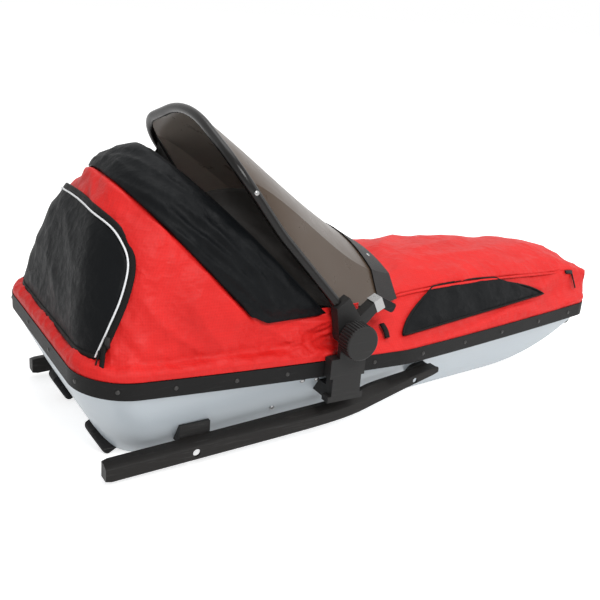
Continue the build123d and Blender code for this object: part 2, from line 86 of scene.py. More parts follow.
# Sheer arc of the rim's lower edge, through three points in side view, and the rim's height.
SHEER = ((-0.760, 0.202), (0.0, 0.150), (0.760, 0.132))
RIM_TALL = 0.033
# The rim's stern, as x.
STERN_X = -0.69
# How far outside the part the rays start that look for its sides.
FAR_OUT = 0.6
# Rear panel outline from the foot to the top's middle: half width, height; and the panel's middle height.
PANEL_EDGE = (
    (0.226, 0.254), (0.226, 0.300), (0.221, 0.352), (0.205, 0.406), (0.180, 0.440),
    (0.140, 0.465), (0.078, 0.477), (0.0, 0.480),
)
PANEL_MID_Z = 0.366
BINDING_WIDE = 0.014
# Rear zip: its slider, then the tab and tape that hang from it, as half width and height.
ZIP_SLIDER = (0.234, 0.282)
ZIP_HANGERS = (  # name, start, end, width, thickness
    ("zip_tab", (0.232, 0.276), (0.248, 0.222), 0.009, 0.0020),
    ("zip_tape", (0.229, 0.268), (0.241, 0.212), 0.003, 0.0016),
)
# The lining's depth under the hood's cloth.
LINING_SINK = 0.021
# Nose cover sections: x, shoulder half, shoulder z, ridge z.
NOSE_SECTIONS = (
    (-0.112, 0.190, 0.246, 0.286),
    (0.040, 0.174, 0.281, 0.318),
    (0.300, 0.152, 0.278, 0.310),
    (0.560, 0.124, 0.256, 0.288),
    (0.650, 0.122, 0.246, 0.266),
    (0.690, 0.122, 0.236, 0.250),
)
# Where the opening ahead of the seat ends, and the two ends of the cover's top flap, as x.
COCKPIT_FRONT = 0.018
FLAP_ENDS = (0.020, 0.645)
# Side pocket corners on the cover's flank: x, z.
POCKET_CORNERS = ((0.012, 0.206), (0.116, 0.274), (0.372, 0.264), (0.512, 0.208))
# The upper end of the webbing loop behind the pocket: x, z.
LOOP_AT = (-0.031, 0.228)
# The backrest's line in side view, from its foot to its top.
BACKREST_FOOT, BACKREST_TOP = Vector((-0.467, 0, 0.046)), Vector((-0.583, 0, 0.436))
# Runner bar from its stern end to its tip: x, foot z, crease z, top z, how far the top leans in.
RUNNER_ROWS = (
    (-0.648, 0.0150, 0.0450, 0.0510, 0.018), (-0.450, 0.0245, 0.0545, 0.0615, 0.018),
    (-0.260, 0.0340, 0.0640, 0.0725, 0.018), (-0.160, 0.0410, 0.0685, 0.0780, 0.018),
    (-0.100, 0.0495, 0.0765, 0.0885, 0.019), (-0.050, 0.0630, 0.0880, 0.1010, 0.020),
    (0.010, 0.0800, 0.1020, 0.1090, 0.019), (0.060, 0.0935, 0.1140, 0.1150, 0.018),
    (0.098, 0.1035, 0.1220, 0.1190, 0.016), (0.112, 0.1090, 0.1215, 0.1195, 0.014),
)
# The wall that is left round the hollows behind the runner's holes.
RUNNER_WALL = 0.005
# Holes through the runner's outer wall: x, z, radius.
RUNNER_HOLES = ((-0.468, 0.0395, 0.0080), (0.049, 0.1005, 0.0062))
# Rivets in the rim, along each side and across the stern.
RIM_RIVET_X = (-0.633, -0.525, -0.400, -0.288, -0.075, 0.061, 0.201, 0.336, 0.481, 0.607)
STERN_RIVET_Y = (-0.222, -0.074, 0.074, 0.222)
# Dome bolts through the hull side: x, z.
HULL_BOLTS = ((-0.278, 0.074), (-0.239, 0.150), (-0.203, 0.146), (-0.117, 0.142), (-0.152, 0.092))
# Rivets of the windscreen: on its base band as x, y and on the bow's legs as x, z.
BAND_RIVETS = ((-0.007, -0.120), (-0.007, 0.120))
BOW_RIVET = (-0.358, 0.538)
# Painted light: the windscreen's faces that point downwards, its inner face, get this paler colour in place
# of the tint, standing in for light through the smoked sheet.
SCREEN_PAINTED_LIGHT = (0.50, 0.44, 0.385, 1.0)
# Softboxes: name, place, aim, size, power.
LAMPS = (
    ("key_softbox", (-0.5, -2.8, 2.8), (-0.1, 0.0, 0.25), 1.3, 88.0),
    ("top_softbox", (0.4, 0.6, 3.4), (0.0, 0.0, 0.2), 2.4, 42.0),
    ("front_softbox", (3.0, -1.4, 1.8), (0.2, 0.0, 0.2), 1.8, 22.0),
)
# The photo's camera: focal length on its sensor, place, and its right, up and back directions.
PHOTO_LENS, PHOTO_SENSOR = 53.62, 36.0
PHOTO_PLACE = (-1.1153, -1.6291, 0.9283)
PHOTO_AXES = ((0.8600, -0.5049, 0.0744), (0.1175, 0.3377, 0.9339), (-0.4966, -0.7944, 0.3498))
# The material of each finish, filled by the finishes operator: finish, material.
MATERIALS = {}
MIRROR = Vector((1, -1, 1))


# Settings that a user would change.
def length_setting(name, description, default, low, high):
    return FloatProperty(
        name=name, description=description, default=default, min=low, max=high, unit="LENGTH",
    )


def colour_setting(name, description, default):
    return FloatVectorProperty(
        name=name, description=description, subtype="COLOR", size=4, default=(*default, 1.0),
        min=0.0, max=1.0,
    )


class PulkSizes(PropertyGroup):
    hem_height: length_setting("Hem Height", "Height of the gathered hem above the rim", 0.036, 0.01, 0.08)
    fold_depth: length_setting("Fold Depth", "Depth of the soft folds in the covers", 0.0115, 0.0, 0.02)
    pucker_depth: length_setting("Pucker Depth", "Depth of the small puckers along seams", 0.0016, 0.0, 0.006)
    collar_puff: length_setting("Collar Puff", "How far the collar's padding swells", 0.010, 0.0, 0.03)
    rivet_radius: length_setting("Rivet Radius", "Radius of the rim rivets", 0.0046, 0.002, 0.01)
    bolt_radius: length_setting("Bolt Radius", "Radius of the dome bolts", 0.0062, 0.003, 0.012)
    ripstop_pitch: length_setting("Ripstop Pitch", "Spacing of the ripstop threads", 0.0058, 0.002, 0.02)


class PulkColours(PropertyGroup):
    cover_red: colour_setting("Cover Red", "Colour of the hood and the nose cover", (0.66, 0.0135, 0.0115))
    cover_black: colour_setting(
        "Cover Black", "Colour of the collar, rear panel and pockets", (0.0034, 0.0040, 0.0047),
    )
    hull_grey: colour_setting("Hull Grey", "Colour of the moulded hull", (0.52, 0.575, 0.615))
    fitting_black: colour_setting("Fitting Black", "Colour of the moulded fittings", (0.0155, 0.015, 0.0147))
    screen_tint: colour_setting("Screen Tint", "Tint of the windscreen", (0.070, 0.047, 0.031))
    piping_white: colour_setting("Piping White", "Colour of the reflective piping", (0.82, 0.83, 0.84))


# Small geometry helpers.
def catmull(rows, q):
    """Smooth row at the fractional index q."""
    last = len(rows) - 1
    q = min(max(q, 0.0), float(last))
    i = min(int(q), last - 1)
    t = q - i
    a, b, c, d = (rows[min(max(i + k, 0), last)] for k in (-1, 0, 1, 2))
    return [
        0.5 * (2 * q1 + (q2 - q0) * t + (2 * q0 - 5 * q1 + 4 * q2 - q3) * t * t
               + (3 * q1 - q0 - 3 * q2 + q3) * t ** 3)
        for q0, q1, q2, q3 in zip(a, b, c, d)
    ]


def smooth(t):
    t = min(max(t, 0.0), 1.0)
    return t * t * (3 - 2 * t)


def bump_at(t, centre, width):
    """A smooth hill of height 1 at centre."""
    return math.exp(-(((t - centre) / width) ** 2))


def arc_z(points, x):
    """Height at x of the arc through three points in side view."""
    (x1, z1), (x2, z2), (x3, z3) = points
    d = 2 * (x1 * (z2 - z3) + x2 * (z3 - z1) + x3 * (z1 - z2))
    s1, s2, s3 = x1 * x1 + z1 * z1, x2 * x2 + z2 * z2, x3 * x3 + z3 * z3
    cx = (s1 * (z2 - z3) + s2 * (z3 - z1) + s3 * (z1 - z2)) / d
    cz = (s1 * (x3 - x2) + s2 * (x1 - x3) + s3 * (x2 - x1)) / d
    r = math.hypot(x1 - cx, z1 - cz)
    return cz - math.copysign(math.sqrt(max(r * r - (x - cx) ** 2, 0.0)), cz - z2)


def rim_top(x):
    return arc_z(SHEER, x) + RIM_TALL


def hits(node, shots):
    """Places and normals where rays (start, direction) meet a solid part."""
    spots = []
    for start, way in shots:
        hit, place, normal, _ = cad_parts[node].ray_cast(Vector(start), Vector(way))
        if hit:
            spots.append((place, normal))
    return spots


def ridged(point, scale, turn=0.0):
    """Long soft folds: noise stretched along one direction of a flat pattern."""
    c, s = math.cos(turn), math.sin(turn)
    a, b = point[0] * c + point[1] * s, -point[0] * s + point[1] * c
    n = noise.noise(Vector((a * scale[0], b * scale[1], point[2])))
    return 1 - 2 * abs(n)


def link_piece(name, mesh, finish, body=HULL_BODY):
    """Put a mesh in the scene in a finish, riding on a body where one is given."""
    piece = bpy.data.objects.new(name, mesh)
    bpy.context.scene.collection.objects.link(piece)
    mesh.materials.append(MATERIALS[finish])
    if body:
        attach(piece, body)
    return piece


def new_piece(name, verts, faces, finish, uv=None, body=HULL_BODY):
    mesh = bpy.data.meshes.new(name)
    mesh.from_pydata([tuple(v) for v in verts], [], faces)
    if uv is not None:
        layer = mesh.uv_layers.new(name="UVMap")
        for loop in mesh.loops:
            layer.data[loop.index].uv = uv[loop.vertex_index]
    mesh.polygons.foreach_set("use_smooth", [True] * len(mesh.polygons))
    mesh.update()
    return link_piece(name, mesh, finish, body)


def mend(piece, change):
    """Let change(form) work on a piece's mesh as a bmesh."""
    form = bmesh.new()
    form.from_mesh(piece.data)
    change(form)
    form.to_mesh(piece.data)
    form.free()


def face_outwards(form):
    bmesh.ops.recalc_face_normals(form, faces=form.faces)


def drop_loose(form):
    bmesh.ops.delete(form, geom=[v for v in form.verts if not v.link_faces], context="VERTS")


def grid_faces(rows, cols, keep=None, closed=False):
    faces = []
    for i in range(rows - 1):
        for j in range(cols if closed else cols - 1):
            k = (j + 1) % cols
            if keep is None or keep(i, j):
                faces.append((i * cols + j, i * cols + k, (i + 1) * cols + k, (i + 1) * cols + j))
    return faces


def capped_faces(rows, cols):
    """Faces of a row of rings, closed round and at both ends."""
    last = (rows - 1) * cols
    caps = [tuple(reversed(range(cols))), tuple(range(last, last + cols))]
    return grid_faces(rows, cols, closed=True) + caps


def tangent(line, i):
    return (line[min(i + 1, len(line) - 1)] - line[max(i - 1, 0)]).normalized()


def grid_normals(grid, out):
    """Unit normals of a grid of points, turned to the side that out(point) gives."""
    rows, cols = len(grid), len(grid[0])
    normals = []
    for i in range(rows):
        line = []
        for j in range(cols):
            du = grid[i][min(j + 1, cols - 1)] - grid[i][max(j - 1, 0)]
            dv = grid[min(i + 1, rows - 1)][j] - grid[max(i - 1, 0)][j]
            n = du.cross(dv)
            n = n.normalized() if n.length > 1e-12 else Vector((0, 0, 1))
            line.append(n if n.dot(out(grid[i][j])) >= 0 else -n)
        normals.append(line)
    return normals


def grid_uv(grid):
    """Lengths along the rows and columns of a grid, in metres, for the weave."""
    uv = []
    down = [0.0] * len(grid[0])
    for i, line in enumerate(grid):
        across = 0.0
        for j, p in enumerate(line):
            if j:
                across += (p - line[j - 1]).length
            if i:
                down[j] += (p - grid[i - 1][j]).length
            uv.append((across, down[j]))
    return uv


def sheet_piece(name, grid, lift, out, finish, thick=0.0016, keep=None, body=HULL_BODY):
    """A cloth piece: lift(i, j, point) moves each point of the grid along its normal."""
    rows, cols = len(grid), len(grid[0])
    normals = grid_normals(grid, out)
    verts = [
        p + n * lift(i, j, p)
        for i in range(rows) for j, (p, n) in enumerate(zip(grid[i], normals[i]))
    ]
    piece = new_piece(name, verts, grid_faces(rows, cols, keep), finish, grid_uv(grid), body)
    middle = piece.data.polygons[len(piece.data.polygons) // 2]
    if middle.normal.dot(out(middle.center)) < 0:
        piece.data.flip_normals()
    mend(piece, drop_loose)
    wall = piece.modifiers.new("Wall", "SOLIDIFY")
    wall.thickness = thick
    wall.offset = -1.0
    return piece


def declare_sheet(piece, flat):
    """Work out the cloth's area from the mesh, held between 0.31 and 1 times the flat cut's size; the result
    is not kept.
    """
    area = sum(p.area for p in piece.data.polygons)
    area = min(max(area, 0.31 * flat[0] * flat[1]), flat[0] * flat[1])


def tube_piece(name, line, radius, finish, sides=8):
    """A round tube along a line."""
    verts, uv = [], []
    side = None
    travelled = 0.0
    for i, p in enumerate(line):
        t = tangent(line, i)
        if side is None:
            side = t.orthogonal().normalized()
        side = (side - t * side.dot(t)).normalized()
        other = t.cross(side)
        if i:
            travelled += (p - line[i - 1]).length
        for k in range(sides):
            a = 2 * math.pi * k / sides
            verts.append(p + side * math.cos(a) * radius + other * math.sin(a) * radius)
            uv.append((travelled, radius * a))
    return new_piece(name, verts, capped_faces(len(line), sides), finish, uv)


def dome_piece(name, spots, radius, tall, finish, body=HULL_BODY, sides=14, rings=4):
    """Dome heads standing on (place, outward direction) spots, in one piece."""
    verts, faces = [], []
    for place, axis in spots:
        axis = axis.normalized()
        side = axis.orthogonal().normalized()
        other = axis.cross(side)
        start = len(verts)
        for ring in range(rings + 1):
            a = 0.5 * math.pi * ring / (rings + 0.35)
            r, h = radius * math.cos(a), tall * math.sin(a) if ring else -0.0015
            for k in range(sides):
                b = 2 * math.pi * k / sides
                verts.append(place + side * r * math.cos(b) + other * r * math.sin(b) + axis * h)
        faces += [tuple(start + k for k in face) for face in capped_faces(rings + 1, sides)]
    return new_piece(name, verts, faces, finish, body=body)


def strip_piece(name, line, ups, wide, thick, finish):
    """Flat tape along a line; ups are the outward directions and wide its width across."""
    verts, faces, uv = [], [], []
    profile = ((-0.5, 0.0), (-0.5, 0.25), (-0.36, 1.0), (0.36, 1.0), (0.5, 0.25), (0.5, 0.0))
    travelled = 0.0
    for i, p in enumerate(line):
        t = tangent(line, i)
        up = (ups[i] - t * ups[i].dot(t)).normalized()
        side = t.cross(up)
        if i:
            travelled += (p - line[i - 1]).length
        for a, h in profile:
            verts.append(p + side * a * wide + up * h * thick)
            uv.append((travelled, a * wide))
    n = len(profile)
    for i in range(len(line) - 1):
        for k in range(n):
            m = (k + 1) % n
            faces.append((i * n + k, (i + 1) * n + k, (i + 1) * n + m, i * n + m))
    faces.append(tuple(range(n)))
    faces.append(tuple(reversed([(len(line) - 1) * n + k for k in range(n)])))
    return new_piece(name, verts, faces, finish, uv)


# The hood's form.
def hood_level(q):
    z, rx, rh, fh, r = catmull(HOOD_LEVELS, q)
    return z, rx, max(rh, 0.0), max(fh, 0.0), max(min(r, rh * 0.98), 0.0005)


def hood_q(z):
    """The level index at height z."""
    low, high = 0.0, len(HOOD_LEVELS) - 1.0
    for _ in range(30):
        mid = (low + high) / 2
        if hood_level(mid)[0] < z:
            low = mid
        else:
            high = mid
    return (low + high) / 2


def hood_half(q, x):
    """Half width of the hood at level q and station x."""
    _, rx, rh, fh, r = hood_level(q)
    half = rh + (fh - rh) * (x - rx) / (HOOD_FRONT - rx)
    if x < rx + r:
        d = min(rx + r - x, r)
        half -= r - math.sqrt(max(r * r - d * d, 0.0))
    return max(half, 0.0)


def hood_rear_x(y, z):
    """The hood's rearmost x behind the point (y, z)."""
    _, rx, rh, _, r = hood_level(hood_q(z))
    a = abs(y) - (rh - r)
    if a <= 0:
        return rx
    a = min(a, r * 0.985)
    return rx + r - math.sqrt(r * r - a * a)


# The shares of a level's run from the front to the stern's middle where its rear corner lies.
CORNER_FROM, CORNER_TO = 0.56, 0.74


def shell_point(q, s, side):
    """Point of the hood at level q; s runs from the front edge (0) round to the stern's middle (1)."""
    z, rx, rh, _, r = hood_level(q)
    if s < CORNER_FROM:
        x = HOOD_FRONT + (rx + r - HOOD_FRONT) * s / CORNER_FROM
        return Vector((x, side * hood_half(q, x), z))
    if s < CORNER_TO:
        a = 0.5 * math.pi * (s - CORNER_FROM) / (CORNER_TO - CORNER_FROM)
        return Vector((rx + r - r * math.sin(a), side * (rh - r + r * math.cos(a)), z))
    t = (s - CORNER_TO) / (1 - CORNER_TO)
    return Vector((rx, side * (rh - r) * (1 - t), z))


def seam_x(z):
    return SEAM[0] - SEAM[1] * (z - COLLAR_BASE_Z)


def shell_top(s, side, tuck=0.012):
    """The level where a column of the hood goes under the collar."""
    low, high = hood_q(COLLAR_BASE_Z + tuck), len(HOOD_LEVELS) - 1.3
    p = shell_point(low, s, side)
    if p.x > seam_x(p.z) + tuck:
        return low
    for _ in range(30):
        mid = (low + high) / 2
        p = shell_point(mid, s, side)
        if p.x < seam_x(p.z) + tuck:
            low = mid
        else:
            high = mid
    return (low + high) / 2


def away_from(centre):
    return lambda p: p - centre


# A point inside the hood that its cloth faces away from.
HOOD_HEART = Vector((-0.40, 0.0, 0.27))


# Materials.
def node_group(name, inputs, outputs):
    tree = bpy.data.node_groups.new(name, "ShaderNodeTree")
    for kind, label, value in inputs:
        socket = tree.interface.new_socket(label, in_out="INPUT", socket_type="NodeSocket" + kind)
        if value is not None:
            socket.default_value = value
    for kind, label in outputs:
        tree.interface.new_socket(label, in_out="OUTPUT", socket_type="NodeSocket" + kind)
    return tree, tree.nodes.new("NodeGroupInput"), tree.nodes.new("NodeGroupOutput")


def wire(tree, value, socket):
    if isinstance(value, bpy.types.NodeSocket):
        tree.links.new(value, socket)
    else:
        socket.default_value = value


def calc(tree, operation, a, b=0.0, clamp=False):
    node = tree.nodes.new("ShaderNodeMath")
    node.operation = operation
    node.use_clamp = clamp
    wire(tree, a, node.inputs[0])
    wire(tree, b, node.inputs[1])
    return node.outputs[0]


def mix_colour(tree, factor, a, b, blend="MIX"):
    node = tree.nodes.new("ShaderNodeMix")
    node.data_type = "RGBA"
    node.blend_type = blend
    wire(tree, factor, node.inputs[0])
    wire(tree, a, node.inputs[6])
    wire(tree, b, node.inputs[7])
    return node.outputs[2]


def noise_at(tree, vector, scale, detail, rough):
    node = tree.nodes.new("ShaderNodeTexNoise")
    wire(tree, vector, node.inputs["Vector"])
    wire(tree, scale, node.inputs["Scale"])
    node.inputs["Detail"].default_value = detail
    node.inputs["Roughness"].default_value = rough
    return node.outputs["Fac"]


def fit_range(tree, value, low, high, to_low=0.0, to_high=1.0):
    node = tree.nodes.new("ShaderNodeMapRange")
    wire(tree, value, node.inputs[0])
    for socket, number in zip(list(node.inputs)[1:5], (low, high, to_low, to_high)):
        socket.default_value = number
    return node.outputs[0]


def make_ripstop():
    """Woven cloth: fine threads, a square grid of stronger threads and uneven dye."""
    tree, given, result = node_group(
        "Ripstop Weave",
        [("Color", "Dye", (0.5, 0.5, 0.5, 1.0)), ("Float", "Pitch", 0.006), ("Float", "Grid", 0.5),
         ("Float", "Fade", 0.1), ("Float", "Crease", 0.0)],
        [("Color", "Color"), ("Float", "Height"), ("Float", "Roughness")],
    )
    place = tree.nodes.new("ShaderNodeUVMap")
    place.uv_map = "UVMap"
    split = tree.nodes.new("ShaderNodeSeparateXYZ")
    tree.links.new(place.outputs[0], split.inputs[0])
    waves = []
    for axis in (0, 1):
        turn = calc(tree, "DIVIDE", split.outputs[axis], given.outputs["Pitch"])
        turn = calc(tree, "MULTIPLY", turn, math.pi)
        line = calc(tree, "POWER", calc(tree, "ABSOLUTE", calc(tree, "COSINE", turn)), 10.0)
        fine = calc(tree, "SINE", calc(tree, "MULTIPLY", turn, 12.0))
        waves.append((line, fine))
    grid = calc(tree, "MAXIMUM", waves[0][0], waves[1][0])
    fine = calc(tree, "MULTIPLY", waves[0][1], waves[1][1])
    grid = calc(tree, "MULTIPLY", grid, given.outputs["Grid"])
    where = tree.nodes.new("ShaderNodeTexCoord")
    broad = noise_at(tree, where.outputs["Object"], 9.0, 4.0, 0.55)
    small = noise_at(tree, where.outputs["Object"], 70.0, 3.0, 0.6)
    fade = calc(tree, "MULTIPLY", fit_range(tree, broad, 0.3, 0.7), given.outputs["Fade"])
    dull = mix_colour(tree, 1.0, given.outputs["Dye"], (0.72, 0.66, 0.66, 1), "MULTIPLY")
    darker = mix_colour(tree, fade, given.outputs["Dye"], dull)
    pale = mix_colour(tree, 1.0, darker, (1.35, 1.6, 1.6, 1.0), "MULTIPLY")
    tree.links.new(mix_colour(tree, grid, darker, pale), result.inputs["Color"])
    height = calc(tree, "ADD", grid, calc(tree, "MULTIPLY", fine, 0.18))
    height = calc(tree, "ADD", height, calc(tree, "MULTIPLY", small, 0.9))
    for scale, weight in ((13.0, 1.0), (31.0, 0.4)):
        spread = noise_at(tree, where.outputs["Object"], scale, 2.5, 0.5)
        bend = calc(tree, "ABSOLUTE", calc(tree, "SUBTRACT", spread, 0.5))
        bend = calc(tree, "SUBTRACT", 1.0, calc(tree, "MULTIPLY", bend, 5.0), True)
        bend = calc(tree, "MULTIPLY", calc(tree, "MULTIPLY", bend, weight), given.outputs["Crease"])
        height = calc(tree, "ADD", height, bend)
    tree.links.new(height, result.inputs["Height"])
    tree.links.new(fit_range(tree, small, 0.25, 0.75, 0.46, 0.62), result.inputs["Roughness"])
    return tree


def make_moulded():
    """Moulded plastic: fine grain, faint flow marks and scuffs that grow towards the ground."""
    tree, given, result = node_group(
        "Moulded Grain",
        [("Color", "Colour", (0.5, 0.5, 0.5, 1.0)), ("Float", "Grain", 900.0), ("Float", "Scuff", 0.3),
         ("Float", "Gloss", 0.4)],
        [("Color", "Color"), ("Float", "Height"), ("Float", "Roughness")],
    )
    where = tree.nodes.new("ShaderNodeTexCoord")
    fine = noise_at(tree, where.outputs["Object"], given.outputs["Grain"], 2.0, 0.5)
    flow = noise_at(tree, where.outputs["Object"], 7.0, 4.0, 0.6)
    stretch = tree.nodes.new("ShaderNodeMapping")
    stretch.inputs["Scale"].default_value = (3.0, 40.0, 60.0)
    tree.links.new(where.outputs["Object"], stretch.inputs["Vector"])
    streaks = noise_at(tree, stretch.outputs[0], 4.0, 5.0, 0.7)
    split = tree.nodes.new("ShaderNodeSeparateXYZ")
    tree.links.new(where.outputs["Object"], split.inputs[0])
    low = fit_range(tree, split.outputs[2], 0.10, 0.0)
    scuff = calc(tree, "MULTIPLY", fit_range(tree, streaks, 0.56, 0.68), given.outputs["Scuff"])
    scuff = calc(tree, "MULTIPLY", scuff, calc(tree, "ADD", 0.25, low))
    soft = mix_colour(tree, calc(tree, "MULTIPLY", flow, 0.14), given.outputs["Colour"],
                      mix_colour(tree, 1.0, given.outputs["Colour"], (0.82, 0.84, 0.88, 1), "MULTIPLY"))
    tree.links.new(mix_colour(tree, scuff, soft, (0.42, 0.41, 0.40, 1.0)), result.inputs["Color"])
    tree.links.new(calc(tree, "ADD", fine, calc(tree, "MULTIPLY", scuff, -1.2)), result.inputs["Height"])
    rough = calc(tree, "ADD", given.outputs["Gloss"], calc(tree, "MULTIPLY", flow, 0.14))
    rough = calc(tree, "ADD", rough, calc(tree, "MULTIPLY", scuff, 0.3), True)
    tree.links.new(rough, result.inputs["Roughness"])
    return tree


GROUPS = {}


def start_material(name):
    material = bpy.data.materials.new(name)
    material.use_nodes = True
    tree = material.node_tree
    return material, tree, tree.nodes["Principled BSDF"]


def place_group(tree, key, **values):
    node = tree.nodes.new("ShaderNodeGroup")
    node.node_tree = GROUPS[key]
    for label, value in values.items():
        node.inputs[label].default_value = value
    return node


def add_bump(tree, shader, height, distance):
    node = tree.nodes.new("ShaderNodeBump")
    node.inputs["Distance"].default_value = distance
    node.inputs["Strength"].default_value = 1.0
    tree.links.new(height, node.inputs["Height"])
    tree.links.new(node.outputs[0], shader.inputs["Normal"])


def cloth_material(name, dye, pitch, grid, fade, gloss, bump, crease):
    material, tree, shader = start_material(name)
    weave = place_group(tree, "weave", Dye=dye, Pitch=pitch, Grid=grid, Fade=fade, Crease=crease)
    tree.links.new(weave.outputs["Color"], shader.inputs["Base Color"])
    tree.links.new(weave.outputs["Roughness"], shader.inputs["Roughness"])
    add_bump(tree, shader, weave.outputs["Height"], bump)
    shader.inputs["Specular IOR Level"].default_value = gloss
    return material


def moulded_material(name, colour, grain, scuff, gloss, bump, coat, shine):
    material, tree, shader = start_material(name)
    grainy = place_group(tree, "moulded", Colour=colour, Grain=grain, Scuff=scuff, Gloss=gloss)
    tree.links.new(grainy.outputs["Color"], shader.inputs["Base Color"])
    tree.links.new(grainy.outputs["Roughness"], shader.inputs["Roughness"])
    add_bump(tree, shader, grainy.outputs["Height"], bump)
    shader.inputs["Coat Weight"].default_value = coat
    shader.inputs["Coat Roughness"].default_value = 0.25
    shader.inputs["Specular IOR Level"].default_value = shine
    return material


def speckled_material(name, scale, detail, fine, first, second, rough_from, rough_to, metal):
    material, tree, shader = start_material(name)
    where = tree.nodes.new("ShaderNodeTexCoord")
    worn = noise_at(tree, where.outputs["Object"], scale, detail, fine)
    shader.inputs["Metallic"].default_value = metal
    tree.links.new(mix_colour(tree, worn, first, second), shader.inputs["Base Color"])
    tree.links.new(fit_range(tree, worn, 0.3, 0.7, rough_from, rough_to), shader.inputs["Roughness"])
    return material


def make_materials(sizes, colours):
    GROUPS["weave"] = make_ripstop()
    GROUPS["moulded"] = make_moulded()
    pitch = sizes.ripstop_pitch
    made = {}
    # key, name, dye, pitch, grid, fade, gloss, bump, crease
    for key, *row in (
        ("red", "cover_red_ripstop", colours.cover_red, pitch, 0.22, 0.5, 0.28, 0.00016, 15.0),
        ("black", "cover_black_ripstop", colours.cover_black, pitch, 0.16, 0.3, 0.10, 0.00012, 14.0),
        ("gusset", "gusset_black", (0.011, 0.0095, 0.0085, 1), 0.003, 0.2, 0.3, 0.12, 0.0002, 0.0),
        ("lining", "lining_black", (0.006, 0.006, 0.007, 1), 0.003, 0.2, 0.3, 0.1, 0.0002, 0.0),
        ("tape", "binding_tape_black", (0.007, 0.0065, 0.006, 1), 0.0022, 0.5, 0.2, 0.10, 0.0002, 0.0),
    ):
        made[key] = cloth_material(*row)
    # key, name, colour, grain, scuff, gloss, bump, coat, shine
    for key, *row in (
        ("hull", "hull_grey_plastic", colours.hull_grey, 500.0, 0.30, 0.30, 0.00006, 0.12, 0.4),
        ("edging", "edging_black_plastic", (0.0062, 0.006, 0.006, 1), 1400.0, 0.06, 0.48, 0.0002, 0.0, 0.14),
        ("fitting", "fitting_black_plastic", colours.fitting_black, 1400.0, 0.08, 0.46, 0.0002, 0.0, 0.22),
        ("runner", "runner_black_plastic", (0.0125, 0.0113, 0.0106, 1), 1400.0, 0.05, 0.42, 0.0002, 0.0,
         0.18),
        ("rubber", "rubber_black", (0.008, 0.008, 0.009, 1), 700.0, 0.1, 0.62, 0.0003, 0.0, 0.2),
        ("bow", "bow_black_paint", (0.005, 0.0044, 0.004, 1), 300.0, 0.05, 0.20, 0.00004, 0.0, 0.26),
    ):
        made[key] = moulded_material(*row)
    # key, name, scale, detail, fineness, first colour, second colour, roughness from and to, metal
    for key, *row in (
        ("piping", "piping_reflective", 900.0, 2.0, 0.5, colours.piping_white, (0.70, 0.71, 0.73, 1),
         0.35, 0.55, 0.0),
        ("steel", "steel_bright", 420.0, 4.0, 0.6, (0.27, 0.27, 0.27, 1), (0.38, 0.38, 0.38, 1),
         0.22, 0.40, 1.0),
        ("rivet", "rivet_dark_metal", 600.0, 3.0, 0.6, (0.032, 0.031, 0.030, 1), (0.055, 0.054, 0.053, 1),
         0.30, 0.5, 0.8),
    ):
        made[key] = speckled_material(*row)
    material, tree, shader = start_material("screen_smoke_tint")
    where = tree.nodes.new("ShaderNodeTexCoord")
    haze = noise_at(tree, where.outputs["Object"], 26.0, 4.0, 0.6)
    # Painted light: faces whose normals point downwards, the screen's inner face, are coloured paler than the
    # tint.
    facing = tree.nodes.new("ShaderNodeNewGeometry")
    split = tree.nodes.new("ShaderNodeSeparateXYZ")
    tree.links.new(facing.outputs["Normal"], split.inputs[0])
    painted_light_mask = fit_range(tree, split.outputs[2], -0.25, 0.1, 1.0, 0.0)
    tint_and_painted_light = mix_colour(tree, painted_light_mask, colours.screen_tint, SCREEN_PAINTED_LIGHT)
    tree.links.new(tint_and_painted_light, shader.inputs["Base Color"])
    tree.links.new(fit_range(tree, haze, 0.3, 0.7, 0.26, 0.34), shader.inputs["Roughness"])
    shader.inputs["Transmission Weight"].default_value = 0.12
    shader.inputs["Specular IOR Level"].default_value = 0.3
    shader.inputs["IOR"].default_value = 1.47
    made["screen"] = material
    return made


# Finishes of the solid parts that stay, single and in right and left pairs: node, finish.
SOLID_FINISHES = (
    ("hull", "hull"), ("rim_edging", "edging"), ("transom_feet", "rubber"), ("bow", "bow"),
    ("visor", "screen"), ("base_band", "fitting"),
)
PAIRED_FINISHES = (
    ("runner_brackets", "fitting"), ("tow_bracket", "fitting"), ("hinge_bracket", "fitting"),
    ("knob", "fitting"), ("knuckle", "fitting"), ("ferrule", "steel"), ("tab", "rubber"),
)


# Operators.
class PULK_OT_finishes(Operator):
    """Mix the finishes and put them on the solid parts"""

    bl_idname = "pulk.finishes"
    bl_label = "Finishes"

    def execute(self, context):
        MATERIALS.update(make_materials(context.scene.pulk_sizes, context.scene.pulk_colours))
        pairs = [(f"{node}_{side}", finish) for node, finish in PAIRED_FINISHES for side, _ in SIDES]
        for node, finish in [*SOLID_FINISHES, *pairs]:
            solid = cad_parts[node]
            solid.data.materials.clear()
            solid.data.materials.append(MATERIALS[finish])
        return {"FINISHED"}


def rim_reach(foot, level):
    """How far the rim's outer edge lies outside a point at the foot of a cover."""
    start = foot + level * 0.2
    start.z = rim_top(foot.x) - 0.012
    for place, _ in hits("rim_edging", [(start, -level)]):
        return max((Vector((place.x, place.y, 0)) - Vector((foot.x, foot.y, 0))).length - 0.0015, 0.0)
    return 0.0


